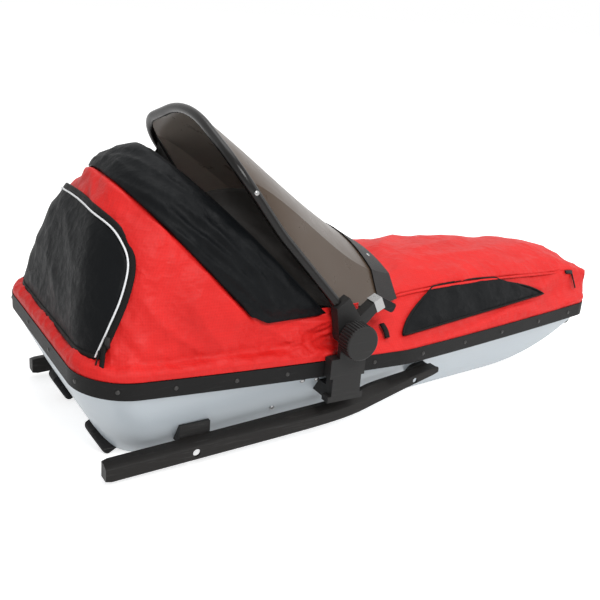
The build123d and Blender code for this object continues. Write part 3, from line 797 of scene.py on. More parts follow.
class PULK_OT_hood(Operator):
    """Sew the red hood over the stern, gathered along the rim, and its lining"""

    bl_idname = "pulk.hood"
    bl_label = "Hood"

    def execute(self, context):
        sizes = context.scene.pulk_sizes
        per_side, rows = 120, 56
        grid = []
        columns = [(-1, i / per_side) for i in range(per_side)]
        columns += [(1, 1 - i / per_side) for i in range(per_side + 1)]
        tops = [shell_top(s, side) for side, s in columns]
        feet = []
        for side, s in columns:
            foot = shell_point(0, s, side)
            low = hood_q(rim_top(foot.x) + 0.001)
            foot = shell_point(low, s, side)
            level = Vector((foot.x, foot.y, 0.0)) - Vector((-0.40, 0.0, 0.0))
            feet.append((low, foot.z, level.normalized(), rim_reach(foot, level.normalized())))
        for i in range(rows):
            v = (i / (rows - 1)) ** 1.25
            line = []
            for (side, s), top, (low, foot_z, level, reach) in zip(columns, tops, feet):
                point = shell_point(low + (top - low) * v, s, side)
                spread = 1 - smooth((point.z - foot_z) / 0.045)
                line.append(point + level * reach * spread ** 1.4)
            grid.append(line)
        uv = grid_uv(grid)
        cols = len(columns)

        def lift(i, j, p):
            run, up = uv[i * cols + j]
            flat = (run, up, 0.0)
            hem = bump_at(up, sizes.hem_height, 0.009)
            near_hem = bump_at(up, sizes.hem_height, 0.026)
            pucker = noise.noise(Vector((run * 95, up * 26, 3.0)))
            broad = ridged(flat, (7.0, 3.2), 0.5) - 0.5
            cross = ridged((run, up, 4.0), (15.0, 5.0), -0.9) - 0.5
            small = noise.noise(Vector((run * 34, up * 34, 9.0)))
            fold = sizes.fold_depth * (broad + 0.7 * cross) * smooth(up / 0.06)
            slack = 0.003 * bump_at(up, 0.016, 0.012)
            front = smooth((p.x + 0.40) / 0.2) * smooth((0.30 - p.z) / 0.05)
            gather = 0.0065 * front * noise.noise(Vector((p.x * 20 + p.z * 40, p.z * 90 - p.x * 30, 5.0)))
            edge = smooth(up / 0.012)
            under = smooth((panel_half(p.z) + 0.014 - abs(p.y)) / 0.02) if p.x < -0.50 else 0.0
            tucked = smooth((p.z - COLLAR_BASE_Z + 0.012) / 0.012)
            tucked *= smooth((p.x - seam_x(p.z) + 0.012) / 0.012)
            held = max(under, tucked)
            full = edge * (0.002 + fold + slack + gather - 0.0055 * hem
                           + sizes.pucker_depth * (3.0 * near_hem * pucker + 0.7 * small))
            return full * (1 - held) - 0.004 * held

        out = away_from(HOOD_HEART)
        hood = sheet_piece("hood_shell", grid, lift, out, "red")
        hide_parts("hood")
        declare_sheet(hood, (1.95, 0.52))
        inside = [line[::4] for line in grid[3::3]]

        def slack(i, j, p):
            return -LINING_SINK + 0.002 * noise.noise(p * 14)

        lining = sheet_piece("hood_lining", inside, slack, out, "lining", thick=0.001)
        declare_sheet(lining, (1.90, 0.48))
        return {"FINISHED"}


def panel_half(z):
    """Half width of the rear panel at height z, negative above and below it."""
    for (y0, z0), (y1, z1) in zip(PANEL_EDGE, PANEL_EDGE[1:]):
        if z0 <= z <= z1:
            return y0 + (y1 - y0) * (z - z0) / (z1 - z0)
    return -1.0


def panel_outline(count=60):
    """Rear panel outline from its left foot, over the top, to its right foot: (y, z) points."""
    half = [catmull(PANEL_EDGE, (len(PANEL_EDGE) - 1) * k / count) for k in range(count + 1)]
    return half + [(-y, z) for y, z in reversed(half[:-1])]


def on_panel(y, z):
    return Vector((hood_rear_x(y, z), y, z))


def panel_normal(y, z):
    step = 0.004
    a = on_panel(y + step, z) - on_panel(y - step, z)
    b = on_panel(y, z + step) - on_panel(y, z - step)
    n = a.cross(b).normalized()
    return n if n.x < 0 else -n


class PULK_OT_rear_panel(Operator):
    """Sew the black rear panel with its binding, piping, foot seam and zip pulls"""

    bl_idname = "pulk.rear_panel"
    bl_label = "Rear Panel"

    def execute(self, context):
        outline = panel_outline()
        foot_count = 60
        (fy, fz), (gy, _) = outline[-1], outline[0]
        loop = outline + [(fy + (gy - fy) * k / foot_count, fz) for k in range(1, foot_count)]
        rings = 30
        grid = []
        for ring in range(rings + 1):
            t = (ring + 0.02) / (rings + 0.02)
            grid.append([on_panel(y * t, PANEL_MID_Z + (z - PANEL_MID_Z) * t) for y, z in loop + loop[:1]])

        def lift(i, j, p):
            t = i / rings
            edge = smooth((1 - t) / 0.16)
            soft = ridged((p.y, p.z, 2.0), (5.0, 11.0), 0.6) - 0.5
            lines = noise.noise(Vector((p.y * 22, p.z * 30, 6.0)))
            return 0.0042 + edge * (0.0055 * (1 - t * t) + 0.004 * soft + 0.0012 * lines)

        out = away_from(Vector((-0.30, 0, 0.35)))
        panel = sheet_piece("rear_panel_cloth", grid, lift, out, "black")
        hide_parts("rear_panel")
        declare_sheet(panel, (0.56, 0.29))

        reach = BINDING_WIDE / 2 + 0.0005
        centre = on_panel(0.0, PANEL_MID_Z)
        edge = [on_panel(y, z) for y, z in outline]
        ups = [panel_normal(y, z) for y, z in outline]
        line = []
        for before, here, after, up in zip(edge[:1] + edge, edge, edge[1:] + edge[-1:], ups):
            side = (after - before).normalized().cross(up)
            line.append(here + up * 0.0036 + side * math.copysign(reach, side.dot(here - centre)))
        for _ in range(10):
            inner = [(a + b * 2 + c) / 4 for a, b, c in zip(line, line[1:], line[2:])]
            line = line[:1] + inner + line[-1:]
            inner = [(a + b * 2 + c).normalized() for a, b, c in zip(ups, ups[1:], ups[2:])]
            ups = ups[:1] + inner + ups[-1:]
        strip_piece("rear_panel_binding", line, ups, BINDING_WIDE, 0.003, "tape")
        line = [on_panel(y, z) + panel_normal(y, z) * 0.0066 for y, z in outline]
        tube_piece("rear_panel_piping", line, 0.0019, "piping")
        seam = [(fy + (gy - fy) * k / 40, fz) for k in range(41)]
        ups = [panel_normal(y, z) for y, z in seam]
        line = [on_panel(y, z) + up * 0.0044 for (y, z), up in zip(seam, ups)]
        strip_piece("rear_panel_foot_seam", line, ups, 0.010, 0.0024, "tape")
        for side, sign in SIDES:
            self.zip_pull(side, sign)
        return {"FINISHED"}

    def zip_pull(self, side, sign):
        """The slider at the binding's foot, its flat tab and a thin tape beside it."""
        y, z = sign * ZIP_SLIDER[0], ZIP_SLIDER[1]
        up = panel_normal(y, z)
        place = on_panel(y, z) + up * 0.0075
        slider = [place + Vector((0, 0, 0.011)), place, place - Vector((0, 0, 0.009))]
        strip_piece(f"zip_slider_{side}", slider, [up] * 3, 0.010, 0.005, "fitting")
        for name, start, end, wide, thick in ZIP_HANGERS:
            line, ups = [], []
            for k in range(10):
                t = k / 9
                py, pz = start[0] + (end[0] - start[0]) * t, start[1] + (end[1] - start[1]) * t
                n = panel_normal(sign * py, pz)
                out = 0.0105 + 0.010 * smooth((0.262 - pz) / 0.05)
                line.append(on_panel(sign * py, pz) + n * out)
                ups.append(n)
            strip_piece(f"{name}_{side}", line, ups, wide, thick, "tape")


def collar_side(t, low_z):
    """The collar's line from base to crown on one side; t runs from the seam to the front edge."""
    low = SEAM[0] + (COLLAR_FRONT[0] - SEAM[0]) * t
    slope = SEAM[1] + (COLLAR_FRONT[1] - SEAM[1]) * t
    start, last = hood_q(low_z), len(HOOD_LEVELS) - 1.0
    points = []
    for k in range(161):
        q = start + (last - start) * k / 160
        z, rx, *_ = hood_level(q)
        x = low - slope * (z - COLLAR_BASE_Z)
        if x <= rx:
            break
        points.append(Vector((x, hood_half(q, x), z)))
    points.append(Vector((points[-1].x, 0.0, points[-1].z + 0.001)))
    return points


def even(points, count):
    """The same line with count + 1 evenly spaced points."""
    runs = [0.0]
    for a, b in zip(points, points[1:]):
        runs.append(runs[-1] + (b - a).length)
    out, k = [], 0
    for i in range(count + 1):
        want = runs[-1] * i / count
        while k < len(runs) - 2 and runs[k + 1] < want:
            k += 1
        span = runs[k + 1] - runs[k]
        out.append(points[k].lerp(points[k + 1], (want - runs[k]) / span if span > 1e-9 else 0.0))
    return out


class PULK_OT_collar(Operator):
    """Stuff the black padded collar round the hood's opening"""

    bl_idname = "pulk.collar"
    bl_label = "Collar"

    def execute(self, context):
        sizes = context.scene.pulk_sizes
        half, across = 90, 34
        lines = []
        for t in range(across + 1):
            low_z = COLLAR_BASE_Z + 0.001 + 0.016 * (1 - smooth(t / across / 0.14))
            lines.append(even(collar_side(t / across, low_z), half))
        grid = [[line[k] * MIRROR for line in lines] for k in range(half + 1)]
        grid += [[line[k] for line in lines] for k in reversed(range(half))]
        for _ in range(3):
            grid = [grid[0]] + [
                [(a + b * 2 + c) / 4 for a, b, c in zip(before, here, after)]
                for before, here, after in zip(grid, grid[1:], grid[2:])
            ] + [grid[-1]]
        normals = grid_normals(grid, away_from(HOOD_HEART))
        uv = grid_uv(grid)
        cols = across + 1
        rows = len(grid)
        outer, inner = [], []
        for i in range(rows):
            ends = smooth(min(i, rows - 1 - i) / 9)
            for j in range(cols):
                t = j / across
                p, n = grid[i][j], normals[i][j]
                up, run = uv[i * cols + j]
                pillow = (1 - abs(2 * t - 1) ** 3.2) * ends
                crease = ridged((run, up, 1.0), (9.0, 22.0), 0.35) - 0.5
                long_fold = ridged((run, up, 7.0), (5.0, 30.0), -0.25) - 0.5
                small = noise.noise(Vector((run * 30, up * 46, 2.0)))
                crown = bump_at(i / (rows - 1), 0.5, 0.17)
                puffed = sizes.collar_puff + 0.0075 * crease + 0.0070 * long_fold + 0.0025 * small
                rise = 0.004 + pillow * puffed * (1 - 0.62 * crown)
                roll = 0.012 * max(t - 0.86, 0) / 0.14
                outer.append(p + n * (rise - roll * 0.7))
                inner.append(p - n * (0.003 + 0.008 * pillow + 0.002 * small * pillow))
        shift = len(outer)
        faces = grid_faces(rows, cols)
        faces += [tuple(shift + k for k in reversed(f)) for f in grid_faces(rows, cols)]
        for i in range(rows - 1):
            a, b = i * cols, (i + 1) * cols
            faces.append((a, b, shift + b, shift + a))
            a, b = a + cols - 1, b + cols - 1
            faces.append((b, a, shift + a, shift + b))
        for j in range(cols - 1):
            faces.append((j + 1, j, shift + j, shift + j + 1))
            k = (rows - 1) * cols + j
            faces.append((k, k + 1, shift + k + 1, shift + k))
        collar = new_piece("collar_pad", outer + inner, faces, "black", uv + uv)
        mend(collar, lambda form: bmesh.ops.remove_doubles(form, verts=form.verts, dist=0.0004))
        mend(collar, face_outwards)
        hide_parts("collar")
        return {"FINISHED"}


def bow_at(h):
    """Point of the bow's left leg, h running from its base to its corner."""
    return Vector(catmull(BOW_LEG, h * (len(BOW_LEG) - 1)))


class PULK_OT_gussets(Operator):
    """Sew the draught gussets between the collar and the windscreen's bow"""

    bl_idname = "pulk.gussets"
    bl_label = "Gussets"

    def execute(self, context):
        front = even(collar_side(0.97, COLLAR_BASE_Z + 0.004), 100)
        rows, cols = 40, 16
        for side, sign in SIDES:
            mirror = Vector((1, sign, 1))
            grid = []
            for i in range(rows + 1):
                h = i / rows
                sewn = front[int(4 + 62 * h)] - Vector((0, 0.006, 0))
                bow = bow_at(0.02 + 0.80 * h) - Vector((0.004, 0.009, 0.0))
                line = []
                for j in range(cols + 1):
                    t = j / cols
                    p = sewn.lerp(bow, t)
                    p.y -= 0.016 * math.sin(math.pi * t) * (0.4 + 0.6 * h)
                    line.append(p * mirror)
                grid.append(line)

            def lift(i, j, p):
                t = j / cols
                hold = math.sin(math.pi * t)
                return hold * (0.005 * (ridged((p.x, p.z, 3.0 * sign), (16, 7), 0.8) - 0.5)
                               + 0.002 * noise.noise(p * 40))

            name = f"draught_gusset_{side}"
            piece = sheet_piece(name, grid, lift, lambda p: Vector((0, sign, 0.2)), "gusset",
                                thick=0.0012, body=None)
            declare_sheet(piece, (0.36, 0.10))
            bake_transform(piece)
        return {"FINISHED"}


def nose_section(x):
    low = 0
    while low < len(NOSE_SECTIONS) - 2 and x > NOSE_SECTIONS[low + 1][0]:
        low += 1
    a, b = NOSE_SECTIONS[low], NOSE_SECTIONS[low + 1]
    t = (x - a[0]) / (b[0] - a[0])
    return catmull(NOSE_SECTIONS, low + t)


# The shoulder's share of the way from the ridge to the rim.
SHOULDER_AT = 0.52
FOOT_HALVES = {}


def foot_half(x):
    """Half width of the rim's outer edge at x, read from the solid."""
    if x not in FOOT_HALVES:
        start = (min(x, 0.688), -FAR_OUT, rim_top(x) - 0.012)
        place, _ = hits("rim_edging", [(start, (0, 1, 0))])[0]
        FOOT_HALVES[x] = -place.y - 0.0015
    return FOOT_HALVES[x]


def nose_point(x, w):
    """Point of the nose cover; w runs from the right rim (-1) over the ridge (0) to the left rim (1)."""
    _, shoulder, shoulder_z, ridge_z = nose_section(x)
    side = -1 if w < 0 else 1
    a = abs(w)
    foot_z = rim_top(x) + 0.0005
    if a > SHOULDER_AT:
        t = (1 - a) / (1 - SHOULDER_AT)
        y = foot_half(x) + (shoulder - foot_half(x)) * t
        z = foot_z + (shoulder_z - foot_z) * t
    else:
        t = a / SHOULDER_AT
        y = shoulder * t
        z = ridge_z - (ridge_z - shoulder_z) * t * t
    return Vector((x, side * y, z))


def from_axis(p):
    """Outward from the nose cover's long axis."""
    lean = max(p.x - 0.60, 0.0) * 2.0
    return Vector((lean, p.y, max(p.z - 0.14, 0.01)))


def cover_lift(sizes, p, run, flap):
    """Folds of the nose cover's cloth."""
    broad = ridged((p.x, p.y * 1.3 + p.z, 3.0), (4.2, 9.0), 0.5) - 0.5
    cross = ridged((p.x, p.y - p.z, 8.0), (9.0, 5.0), -0.7) - 0.5
    small = noise.noise(Vector((p.x * 30, p.y * 34, p.z * 34)))
    pucker = noise.noise(Vector((p.x * 110, p.y * 30, p.z * 60)))
    seam = bump_at(abs(run), SHOULDER_AT, 0.05)
    hem = bump_at(abs(run), 0.94, 0.05)
    lift = sizes.fold_depth * (0.65 * broad + 0.5 * cross)
    lift += sizes.pucker_depth * (0.6 * small + 1.2 * (seam + hem) * pucker)
    return lift + (0.0 if flap else -0.0012 * bump_at(abs(run), 0.90, 0.02))


def pocket_span(v):
    """The pocket's two ends at v, its share of height: x, x."""
    (ax, _), (bx, _), (cx, _), (dx, _) = POCKET_CORNERS
    return ax + (bx - ax) * (0.35 * v + 0.65 * v ** 1.6), dx + (cx - dx) * (0.7 * v + 0.3 * v ** 2.5)


def under_pocket(p):
    """1 where the cover lies under a pocket, fading to 0 round it."""
    (_, az), (_, bz), _, _ = POCKET_CORNERS
    v = min(max((p.z - az) / (bz - az), 0.0), 1.0)
    start, end = pocket_span(v)
    inside = min(p.x - start, end - p.x) / 0.02 + 1
    return smooth(inside) * smooth((p.z - az + 0.012) / 0.01) * smooth((bz + 0.016 - p.z) / 0.01)


def calm_by_screen(p):
    """0 where the windscreen's band tips down over the cover, which lies flat there; 1 ahead of it."""
    return smooth((p.x - 0.05) / 0.06)


class PULK_OT_nose_cover(Operator):
    """Sew the red nose cover: flanks, top flap, its seams and zips"""

    bl_idname = "pulk.nose_cover"
    bl_label = "Nose Cover"

    def execute(self, context):
        sizes = context.scene.pulk_sizes
        x0, x1 = NOSE_SECTIONS[0][0], NOSE_SECTIONS[-1][0]
        xs = [x0 + (x1 - x0) * i / 150 for i in range(151)]
        ws = [-1 + 2 * j / 96 for j in range(97)]
        grid = [[nose_point(x, w) for w in ws] for x in xs]
        edge_w = SHOULDER_AT - 0.01

        def keep(i, j):
            return xs[i] >= COCKPIT_FRONT or (abs(ws[j]) > edge_w and abs(ws[j + 1]) > edge_w)

        def lift(i, j, p):
            ends = smooth((1 - abs(ws[j])) / 0.06)
            held = max(under_pocket(p), 1 - calm_by_screen(p))
            return ends * ((0.0012 + cover_lift(sizes, p, ws[j], False)) * (1 - held) - 0.0015 * held)

        cover = sheet_piece("nose_cover_cloth", grid, lift, from_axis, "red", keep=keep)
        mend(cover, self.close_front)
        cover.data.polygons.foreach_set("use_smooth", [True] * len(cover.data.polygons))
        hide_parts("nose_cover")
        declare_sheet(cover, (0.86, 0.66))
        self.flap(sizes)
        return {"FINISHED"}

    def close_front(self, form):
        """The cloth turns down over the nose to the rim."""
        front = max(v.co.x for v in form.verts)
        edges = [e for e in form.edges if e.is_boundary and all(v.co.x > front - 0.012 for v in e.verts)]
        made = bmesh.ops.extrude_edge_only(form, edges=edges)
        for v in made["geom"]:
            if isinstance(v, bmesh.types.BMVert):
                v.co.z = min(v.co.z, rim_top(v.co.x) - 0.004)
                v.co.x = min(v.co.x, 0.684)

    def flap(self, sizes):
        """The top flap with a seam, a zip slider and its pull along each edge."""
        x0, x1 = FLAP_ENDS
        xs = [x0 + (x1 - x0) * i / 120 for i in range(121)]
        span = SHOULDER_AT + 0.035
        ws = [-span + 2 * span * j / 72 for j in range(73)]
        grid = [[nose_point(x, w) for w in ws] for x in xs]

        def lift(i, j, p):
            edge = smooth((1 - abs(ws[j]) / span) / 0.05)
            folds = cover_lift(sizes, p, ws[j], True) * (0.4 + 0.6 * edge)
            return 0.0008 + calm_by_screen(p) * (0.0016 + folds + 0.001 * edge)

        flap = sheet_piece("nose_top_flap", grid, lift, from_axis, "red")
        declare_sheet(flap, (0.64, 0.40))
        for side, sign in SIDES:
            w = sign * (SHOULDER_AT + 0.05)
            line = [nose_point(0.03 + 0.6 * k / 60, w) for k in range(61)]
            ups = [from_axis(p).normalized() for p in line]
            line = [p + u * 0.004 for p, u in zip(line, ups)]
            strip_piece(f"nose_seam_{side}", line, ups, 0.006, 0.0016, "red")
            slide = [p + u * 0.004 for p, u in zip(line[-3:], ups[-3:])]
            strip_piece(f"nose_zip_slider_{side}", slide, ups[-3:], 0.010, 0.004, "fitting")
            drop = [slide[-1] + Vector((0.0008 * k, sign * 0.0024 * k, -0.0055 * k)) for k in range(8)]
            strip_piece(f"nose_zip_pull_{side}", drop, ups[-1:] * 8, 0.006, 0.002, "tape")


class PULK_OT_side_pockets(Operator):
    """Sew the black pockets and the webbing loops on the nose cover's flanks"""

    bl_idname = "pulk.side_pockets"
    bl_label = "Side Pockets"

    def execute(self, context):
        for side, sign in SIDES:
            self.pocket(side, sign)
            self.loop(side, sign)
        return {"FINISHED"}

    def loop(self, side, sign):
        """A short webbing loop sewn behind the pocket."""
        up = Vector((0, sign, 0.8)).normalized()
        x, z = LOOP_AT
        line = [self.flank(x, z - 0.0024 * k, sign) + up * (0.004 + 0.004 * math.sin(math.pi * k / 9))
                for k in range(10)]
        strip_piece(f"webbing_loop_{side}", line, [up] * 10, 0.013, 0.003, "tape")

    def flank(self, x, z, sign):
        """Point of the nose cover's flank at x and z."""
        _, shoulder, shoulder_z, _ = nose_section(x)
        foot_z = rim_top(x) + 0.0005
        t = (z - foot_z) / (shoulder_z - foot_z)
        return Vector((x, sign * (foot_half(x) + (shoulder - foot_half(x)) * t), z))

    def pocket(self, side, sign):
        az, bz, cz, dz = (z for _, z in POCKET_CORNERS)
        cols, rows = 60, 26
        grid = []
        for i in range(rows + 1):
            v = i / rows
            ease = math.sin(v * math.pi * 0.5)
            left_x, right_x = pocket_span(v)
            line = []
            for j in range(cols + 1):
                u = j / cols
                top_z = bz + (cz - bz) * u + 0.006 * math.sin(math.pi * u)
                low_z = az + (dz - az) * u
                x = left_x + (right_x - left_x) * u
                corner = bump_at(u, 0.0, 0.05) + bump_at(u, 1.0, 0.06)
                z = low_z + (top_z - low_z) * v - 0.010 * v * corner * ease
                line.append(self.flank(x, z, sign))
            grid.append(line)

        def lift(i, j, p):
            u, v = j / cols, i / rows
            edge = smooth(min(u, 1 - u) / 0.09) * smooth(min(v, 1 - v) / 0.2)
            folds = ridged((p.x, p.z, 2.0 + sign), (13.0, 4.0), 0.1) - 0.5
            small = noise.noise(Vector((p.x * 42, p.z * 42, sign * 3.0)))
            return 0.0030 + edge * (0.0035 + 0.0042 * folds + 0.0012 * small)

        out = Vector((0, sign, 0.8))
        pocket = sheet_piece(f"side_pocket_cloth_{side}", grid, lift, lambda p: out, "black")
        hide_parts(f"side_pocket_{side}")
        declare_sheet(pocket, (0.50, 0.085))
        up = out.normalized()
        lines = [grid[0], [line[-1] for line in grid], grid[-1][::-1], [line[0] for line in grid[::-1]]]
        edge = []
        for line in lines:
            edge += [p + up * 0.0040 for p in line[:-1]]
        edge.append(edge[0])
        tube_piece(f"side_pocket_edge_{side}", edge, 0.0024, "tape")


def pad_piece(name, size, place, channels, puff):
    """A crowned closed pad with sewn channels across it; place is its matrix."""
    box = bmesh.new()
    bmesh.ops.create_cube(box, size=2.0)
    bmesh.ops.subdivide_edges(box, edges=box.edges, cuts=26, use_grid_fill=True)
    long, wide, thick = size
    for v in box.verts:
        a, b, c = v.co
        round_a, round_b = (1 - abs(b) ** 6 * 0.05), (1 - abs(a) ** 6 * 0.05)
        crown = (1 - abs(a) ** 5) * (1 - abs(b) ** 5)
        sewn = sum(bump_at(a, at, 0.035) for at in channels) * (1 - abs(b) ** 8)
        h = c * (0.55 + 0.45 * crown ** 0.5)
        if c > 0.5:
            h = h - 0.32 * sewn + puff * crown
        wave = 0.03 * noise.noise(Vector((a * 3, b * 3, c)))
        pull = 1 - 0.02 * (1 - abs(c))
        v.co = (a * long / 2 * round_a * pull, b * wide / 2 * round_b * pull, (h + wave) * thick / 2)
    mesh = bpy.data.meshes.new(name)
    layer = box.loops.layers.uv.new("UVMap")
    for f in box.faces:
        for loop in f.loops:
            loop[layer].uv = (loop.vert.co.x, loop.vert.co.y)
        f.smooth = True
    box.transform(place)
    box.to_mesh(mesh)
    box.free()
    return link_piece(name, mesh, "black")


class PULK_OT_seat(Operator):
    """Stuff the seat pad and the backrest"""

    bl_idname = "pulk.seat"
    bl_label = "Seat"

    def execute(self, context):
        low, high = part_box("seat_pad")
        size = high - low
        size = (size.x - 0.006, size.y - 0.006, size.z - 0.004)
        place = Matrix.Translation((low + high) / 2)
        seat = pad_piece("seat_cushion", size, place, (-0.5, 0.0, 0.5), 0.06)
        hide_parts("seat_pad")
        low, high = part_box("backrest")
        along = (BACKREST_TOP - BACKREST_FOOT).normalized()
        normal = Vector((0, 1, 0)).cross(along)
        across = normal.cross(along)
        middle = (BACKREST_FOOT + BACKREST_TOP) / 2
        place = Matrix((
            (along.x, across.x, normal.x, middle.x), (along.y, across.y, normal.y, middle.y),
            (along.z, across.z, normal.z, middle.z), (0, 0, 0, 1),
        ))
        size = ((BACKREST_TOP - BACKREST_FOOT).length - 0.006, high.y - low.y - 0.006, 0.024)
        back = pad_piece("backrest_cushion", size, place, (-0.45, 0.0, 0.45), 0.10)
        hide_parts("backrest")
        return {"FINISHED"}


class PULK_OT_runners(Operator):
    """Mould the slim runner bars with their holes"""

    bl_idname = "pulk.runners"
    bl_label = "Runners"

    def execute(self, context):
        for side, sign in SIDES:
            self.bar(side, sign)
        return {"FINISHED"}

    def bar(self, side, sign):
        ends = [abs(corner.y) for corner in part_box(f"runner_{side}")]
        outer, inner = max(ends), min(ends)
        centre = (outer + inner) / 2
        stations, blunt = 96, 0.0025
        verts = []
        for i in range(stations + 1):
            x, foot, crease, top, lean = catmull(RUNNER_ROWS, (len(RUNNER_ROWS) - 1) * i / stations)
            ring = ((outer - blunt, foot), (outer, foot + blunt), (outer, crease - blunt),
                    (outer - blunt, crease), (outer - lean, top), (inner, top), (inner, foot))
            middle = sum(z for _, z in ring) / len(ring)
            shrink = 1 - 0.12 * (1 - smooth(min(i, stations - i)))
            for y, z in ring:
                verts.append((x, sign * (centre + (y - centre) * shrink), middle + (z - middle) * shrink))
        faces = capped_faces(stations + 1, len(ring))
        piece = new_piece(f"runner_bar_{side}", verts, faces, "runner")
        mend(piece, face_outwards)
        for x, z, radius in RUNNER_HOLES:
            tool = bmesh.new()
            place = Matrix.Translation((x, sign * outer, z)) @ Matrix.Rotation(math.pi / 2, 4, "X")
            bmesh.ops.create_cone(tool, cap_ends=True, segments=24, radius1=radius, radius2=radius,
                                  depth=0.12, matrix=place)
            self.cut(piece, tool)
            tool = bmesh.new()
            deep = outer - inner - RUNNER_WALL + 0.01
            bmesh.ops.create_cube(tool, size=1.0)
            stern, fore = x - radius + 0.002, x + radius + 0.020
            low, high = z - 0.031, z + radius - 0.001
            place = Matrix.Translation(
                ((stern + fore) / 2, sign * (inner - 0.01 + deep / 2), (low + high) / 2)
            )
            grow = Matrix.Diagonal((fore - stern, deep, high - low, 1.0))
            bmesh.ops.transform(tool, matrix=place @ grow, verts=tool.verts)
            self.cut(piece, tool)
        piece.data.set_sharp_from_angle(angle=0.5)
        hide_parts(f"runner_{side}")

    def cut(self, piece, tool):
        """Take a closed form off the bar: a hole, or the hollow behind it."""
        mesh = bpy.data.meshes.new("cutter")
        tool.to_mesh(mesh)
        tool.free()
        bit = bpy.data.objects.new("cutter", mesh)
        bpy.context.scene.collection.objects.link(bit)
        cut = piece.modifiers.new("Hole", "BOOLEAN")
        cut.operation = "DIFFERENCE"
        cut.solver = "EXACT"
        cut.object = bit
        ready = piece.evaluated_get(bpy.context.evaluated_depsgraph_get())
        drilled = bpy.data.meshes.new_from_object(ready)
        piece.modifiers.remove(cut)
        piece.data = drilled
        bpy.data.objects.remove(bit)


class PULK_OT_fasteners(Operator):
    """Set the rim rivets, the hull's dome bolts and the windscreen's rivets"""

    bl_idname = "pulk.fasteners"
    bl_label = "Fasteners"

    def execute(self, context):
        sizes = context.scene.pulk_sizes
        middle = RIM_TALL * 0.5
        shots = [((x, sign * FAR_OUT, arc_z(SHEER, x) + middle), (0, -sign, 0))
                 for x in RIM_RIVET_X for sign in (-1, 1)]
        shots += [((-1.2, y, arc_z(SHEER, STERN_X) + middle), (1, 0, 0)) for y in STERN_RIVET_Y]
        dome_piece("rim_rivets", hits("rim_edging", shots), sizes.rivet_radius, 0.002, "rivet")
        spots = []
        for place, normal in hits("hull", [((x, -FAR_OUT, z), (0, 1, 0)) for x, z in HULL_BOLTS]):
            spots += [(place, normal), (place * MIRROR, normal * MIRROR)]
        dome_piece("hull_bolts", spots, sizes.bolt_radius, 0.0042, "steel")
        spots = hits("base_band", [((x, y, 0.7), (0, 0, -1)) for x, y in BAND_RIVETS])
        x, z = BOW_RIVET
        spots += hits("bow", [((x, sign * FAR_OUT, z), (0, -sign, 0)) for sign in (-1, 1)])
        dome_piece("band_rivets", spots, 0.0052, 0.0024, "steel", SCREEN_BODY)
        return {"FINISHED"}


def straight_rays(tree):
    """1 for what the camera sees itself, mirrored or through the screen; 0 for light on the part."""
    rays = tree.nodes.new("ShaderNodeLightPath")
    seen = calc(tree, "MAXIMUM", rays.outputs["Is Camera Ray"], rays.outputs["Is Glossy Ray"])
    return calc(tree, "MAXIMUM", seen, rays.outputs["Is Transmission Ray"])


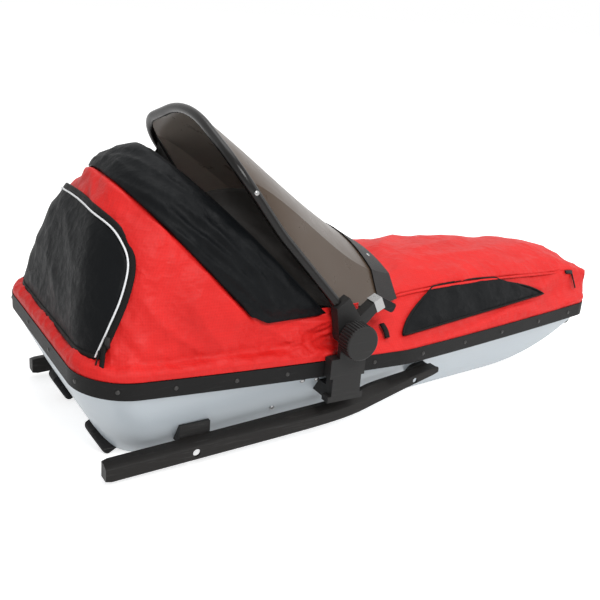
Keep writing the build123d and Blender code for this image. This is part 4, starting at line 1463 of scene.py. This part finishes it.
class PULK_OT_stage(Operator):
    """Set the floor, the studio light and the camera"""

    bl_idname = "pulk.stage"
    bl_label = "Stage"

    def execute(self, context):
        scene = context.scene
        scene.view_settings.view_transform = "Standard"
        mesh = bpy.data.meshes.new("studio_floor")
        mesh.from_pydata([(-14, -14, 0), (14, -14, 0), (14, 14, 0), (-14, 14, 0)], [], [(0, 1, 2, 3)])
        floor = bpy.data.objects.new("studio_floor", mesh)
        scene.collection.objects.link(floor)
        floor.location.z = -0.0005
        material, tree, shader = start_material("studio_pale")
        shader.inputs["Base Color"].default_value = (0.80, 0.80, 0.80, 1)
        shader.inputs["Roughness"].default_value = 0.95
        shader.inputs["Specular IOR Level"].default_value = 0.0
        shader.inputs["Emission Color"].default_value = (1, 1, 1, 1)
        glow = fit_range(tree, straight_rays(tree), 0.0, 1.0, 0.0, 0.72)
        tree.links.new(glow, shader.inputs["Emission Strength"])
        mesh.materials.append(material)
        world = bpy.data.worlds.new("studio_sky")
        world.use_nodes = True
        scene.world = world
        sky = world.node_tree
        back = sky.nodes["Background"]
        back.inputs["Color"].default_value = (1, 1, 1, 1)
        glow = fit_range(sky, straight_rays(sky), 0.0, 1.0, 0.44, 1.0)
        sky.links.new(glow, back.inputs["Strength"])
        for name, place, aim, size, power in LAMPS:
            light = bpy.data.lights.new(name, "AREA")
            light.shape = "SQUARE"
            light.size = size
            light.energy = power
            lamp = bpy.data.objects.new(name, light)
            lamp.location = place
            lamp.rotation_euler = (Vector(aim) - Vector(place)).to_track_quat("-Z", "Y").to_euler()
            scene.collection.objects.link(lamp)
        self.camera(scene)
        return {"FINISHED"}

    def camera(self, scene):
        """The camera that was solved on the photo."""
        lens = bpy.data.cameras.new("photo_camera")
        lens.sensor_width = PHOTO_SENSOR
        lens.sensor_fit = "HORIZONTAL"
        lens.lens = PHOTO_LENS
        lens.clip_start, lens.clip_end = 0.05, 60.0
        eye = bpy.data.objects.new("photo_camera", lens)
        rows = [list(row) for row in zip(*PHOTO_AXES, PHOTO_PLACE)]
        eye.matrix_world = Matrix(rows + [[0, 0, 0, 1]])
        scene.collection.objects.link(eye)
        scene.camera = eye


OPERATORS = (
    PULK_OT_finishes, PULK_OT_hood, PULK_OT_rear_panel, PULK_OT_collar, PULK_OT_gussets, PULK_OT_nose_cover,
    PULK_OT_side_pockets, PULK_OT_seat, PULK_OT_runners, PULK_OT_fasteners, PULK_OT_stage,
)


class PULK_PT_sidebar(Panel):
    """The pulk's settings and steps"""

    bl_label = "Child Carrier Pulk"
    bl_idname = "PULK_PT_sidebar"
    bl_space_type = "VIEW_3D"
    bl_region_type = "UI"
    bl_category = "Pulk"

    def draw(self, context):
        for group in (context.scene.pulk_sizes, context.scene.pulk_colours):
            box = self.layout.box()
            for name in group.__annotations__:
                box.prop(group, name)
        for step in OPERATORS:
            self.layout.operator(step.bl_idname)


CLASSES = (PulkSizes, PulkColours, *OPERATORS, PULK_PT_sidebar)


def register():
    for item in CLASSES:
        bpy.utils.register_class(item)
    bpy.types.Scene.pulk_sizes = PointerProperty(type=PulkSizes)
    bpy.types.Scene.pulk_colours = PointerProperty(type=PulkColours)


def unregister():
    del bpy.types.Scene.pulk_colours
    del bpy.types.Scene.pulk_sizes
    for item in reversed(CLASSES):
        bpy.utils.unregister_class(item)


def main():
    register()
    bpy.ops.pulk.finishes()
    bpy.ops.pulk.hood()
    bpy.ops.pulk.rear_panel()
    bpy.ops.pulk.collar()
    bpy.ops.pulk.gussets()
    bpy.ops.pulk.nose_cover()
    bpy.ops.pulk.side_pockets()
    bpy.ops.pulk.seat()
    bpy.ops.pulk.runners()
    bpy.ops.pulk.fasteners()
    bpy.ops.pulk.stage()


if __name__ == "__main__":
    main()
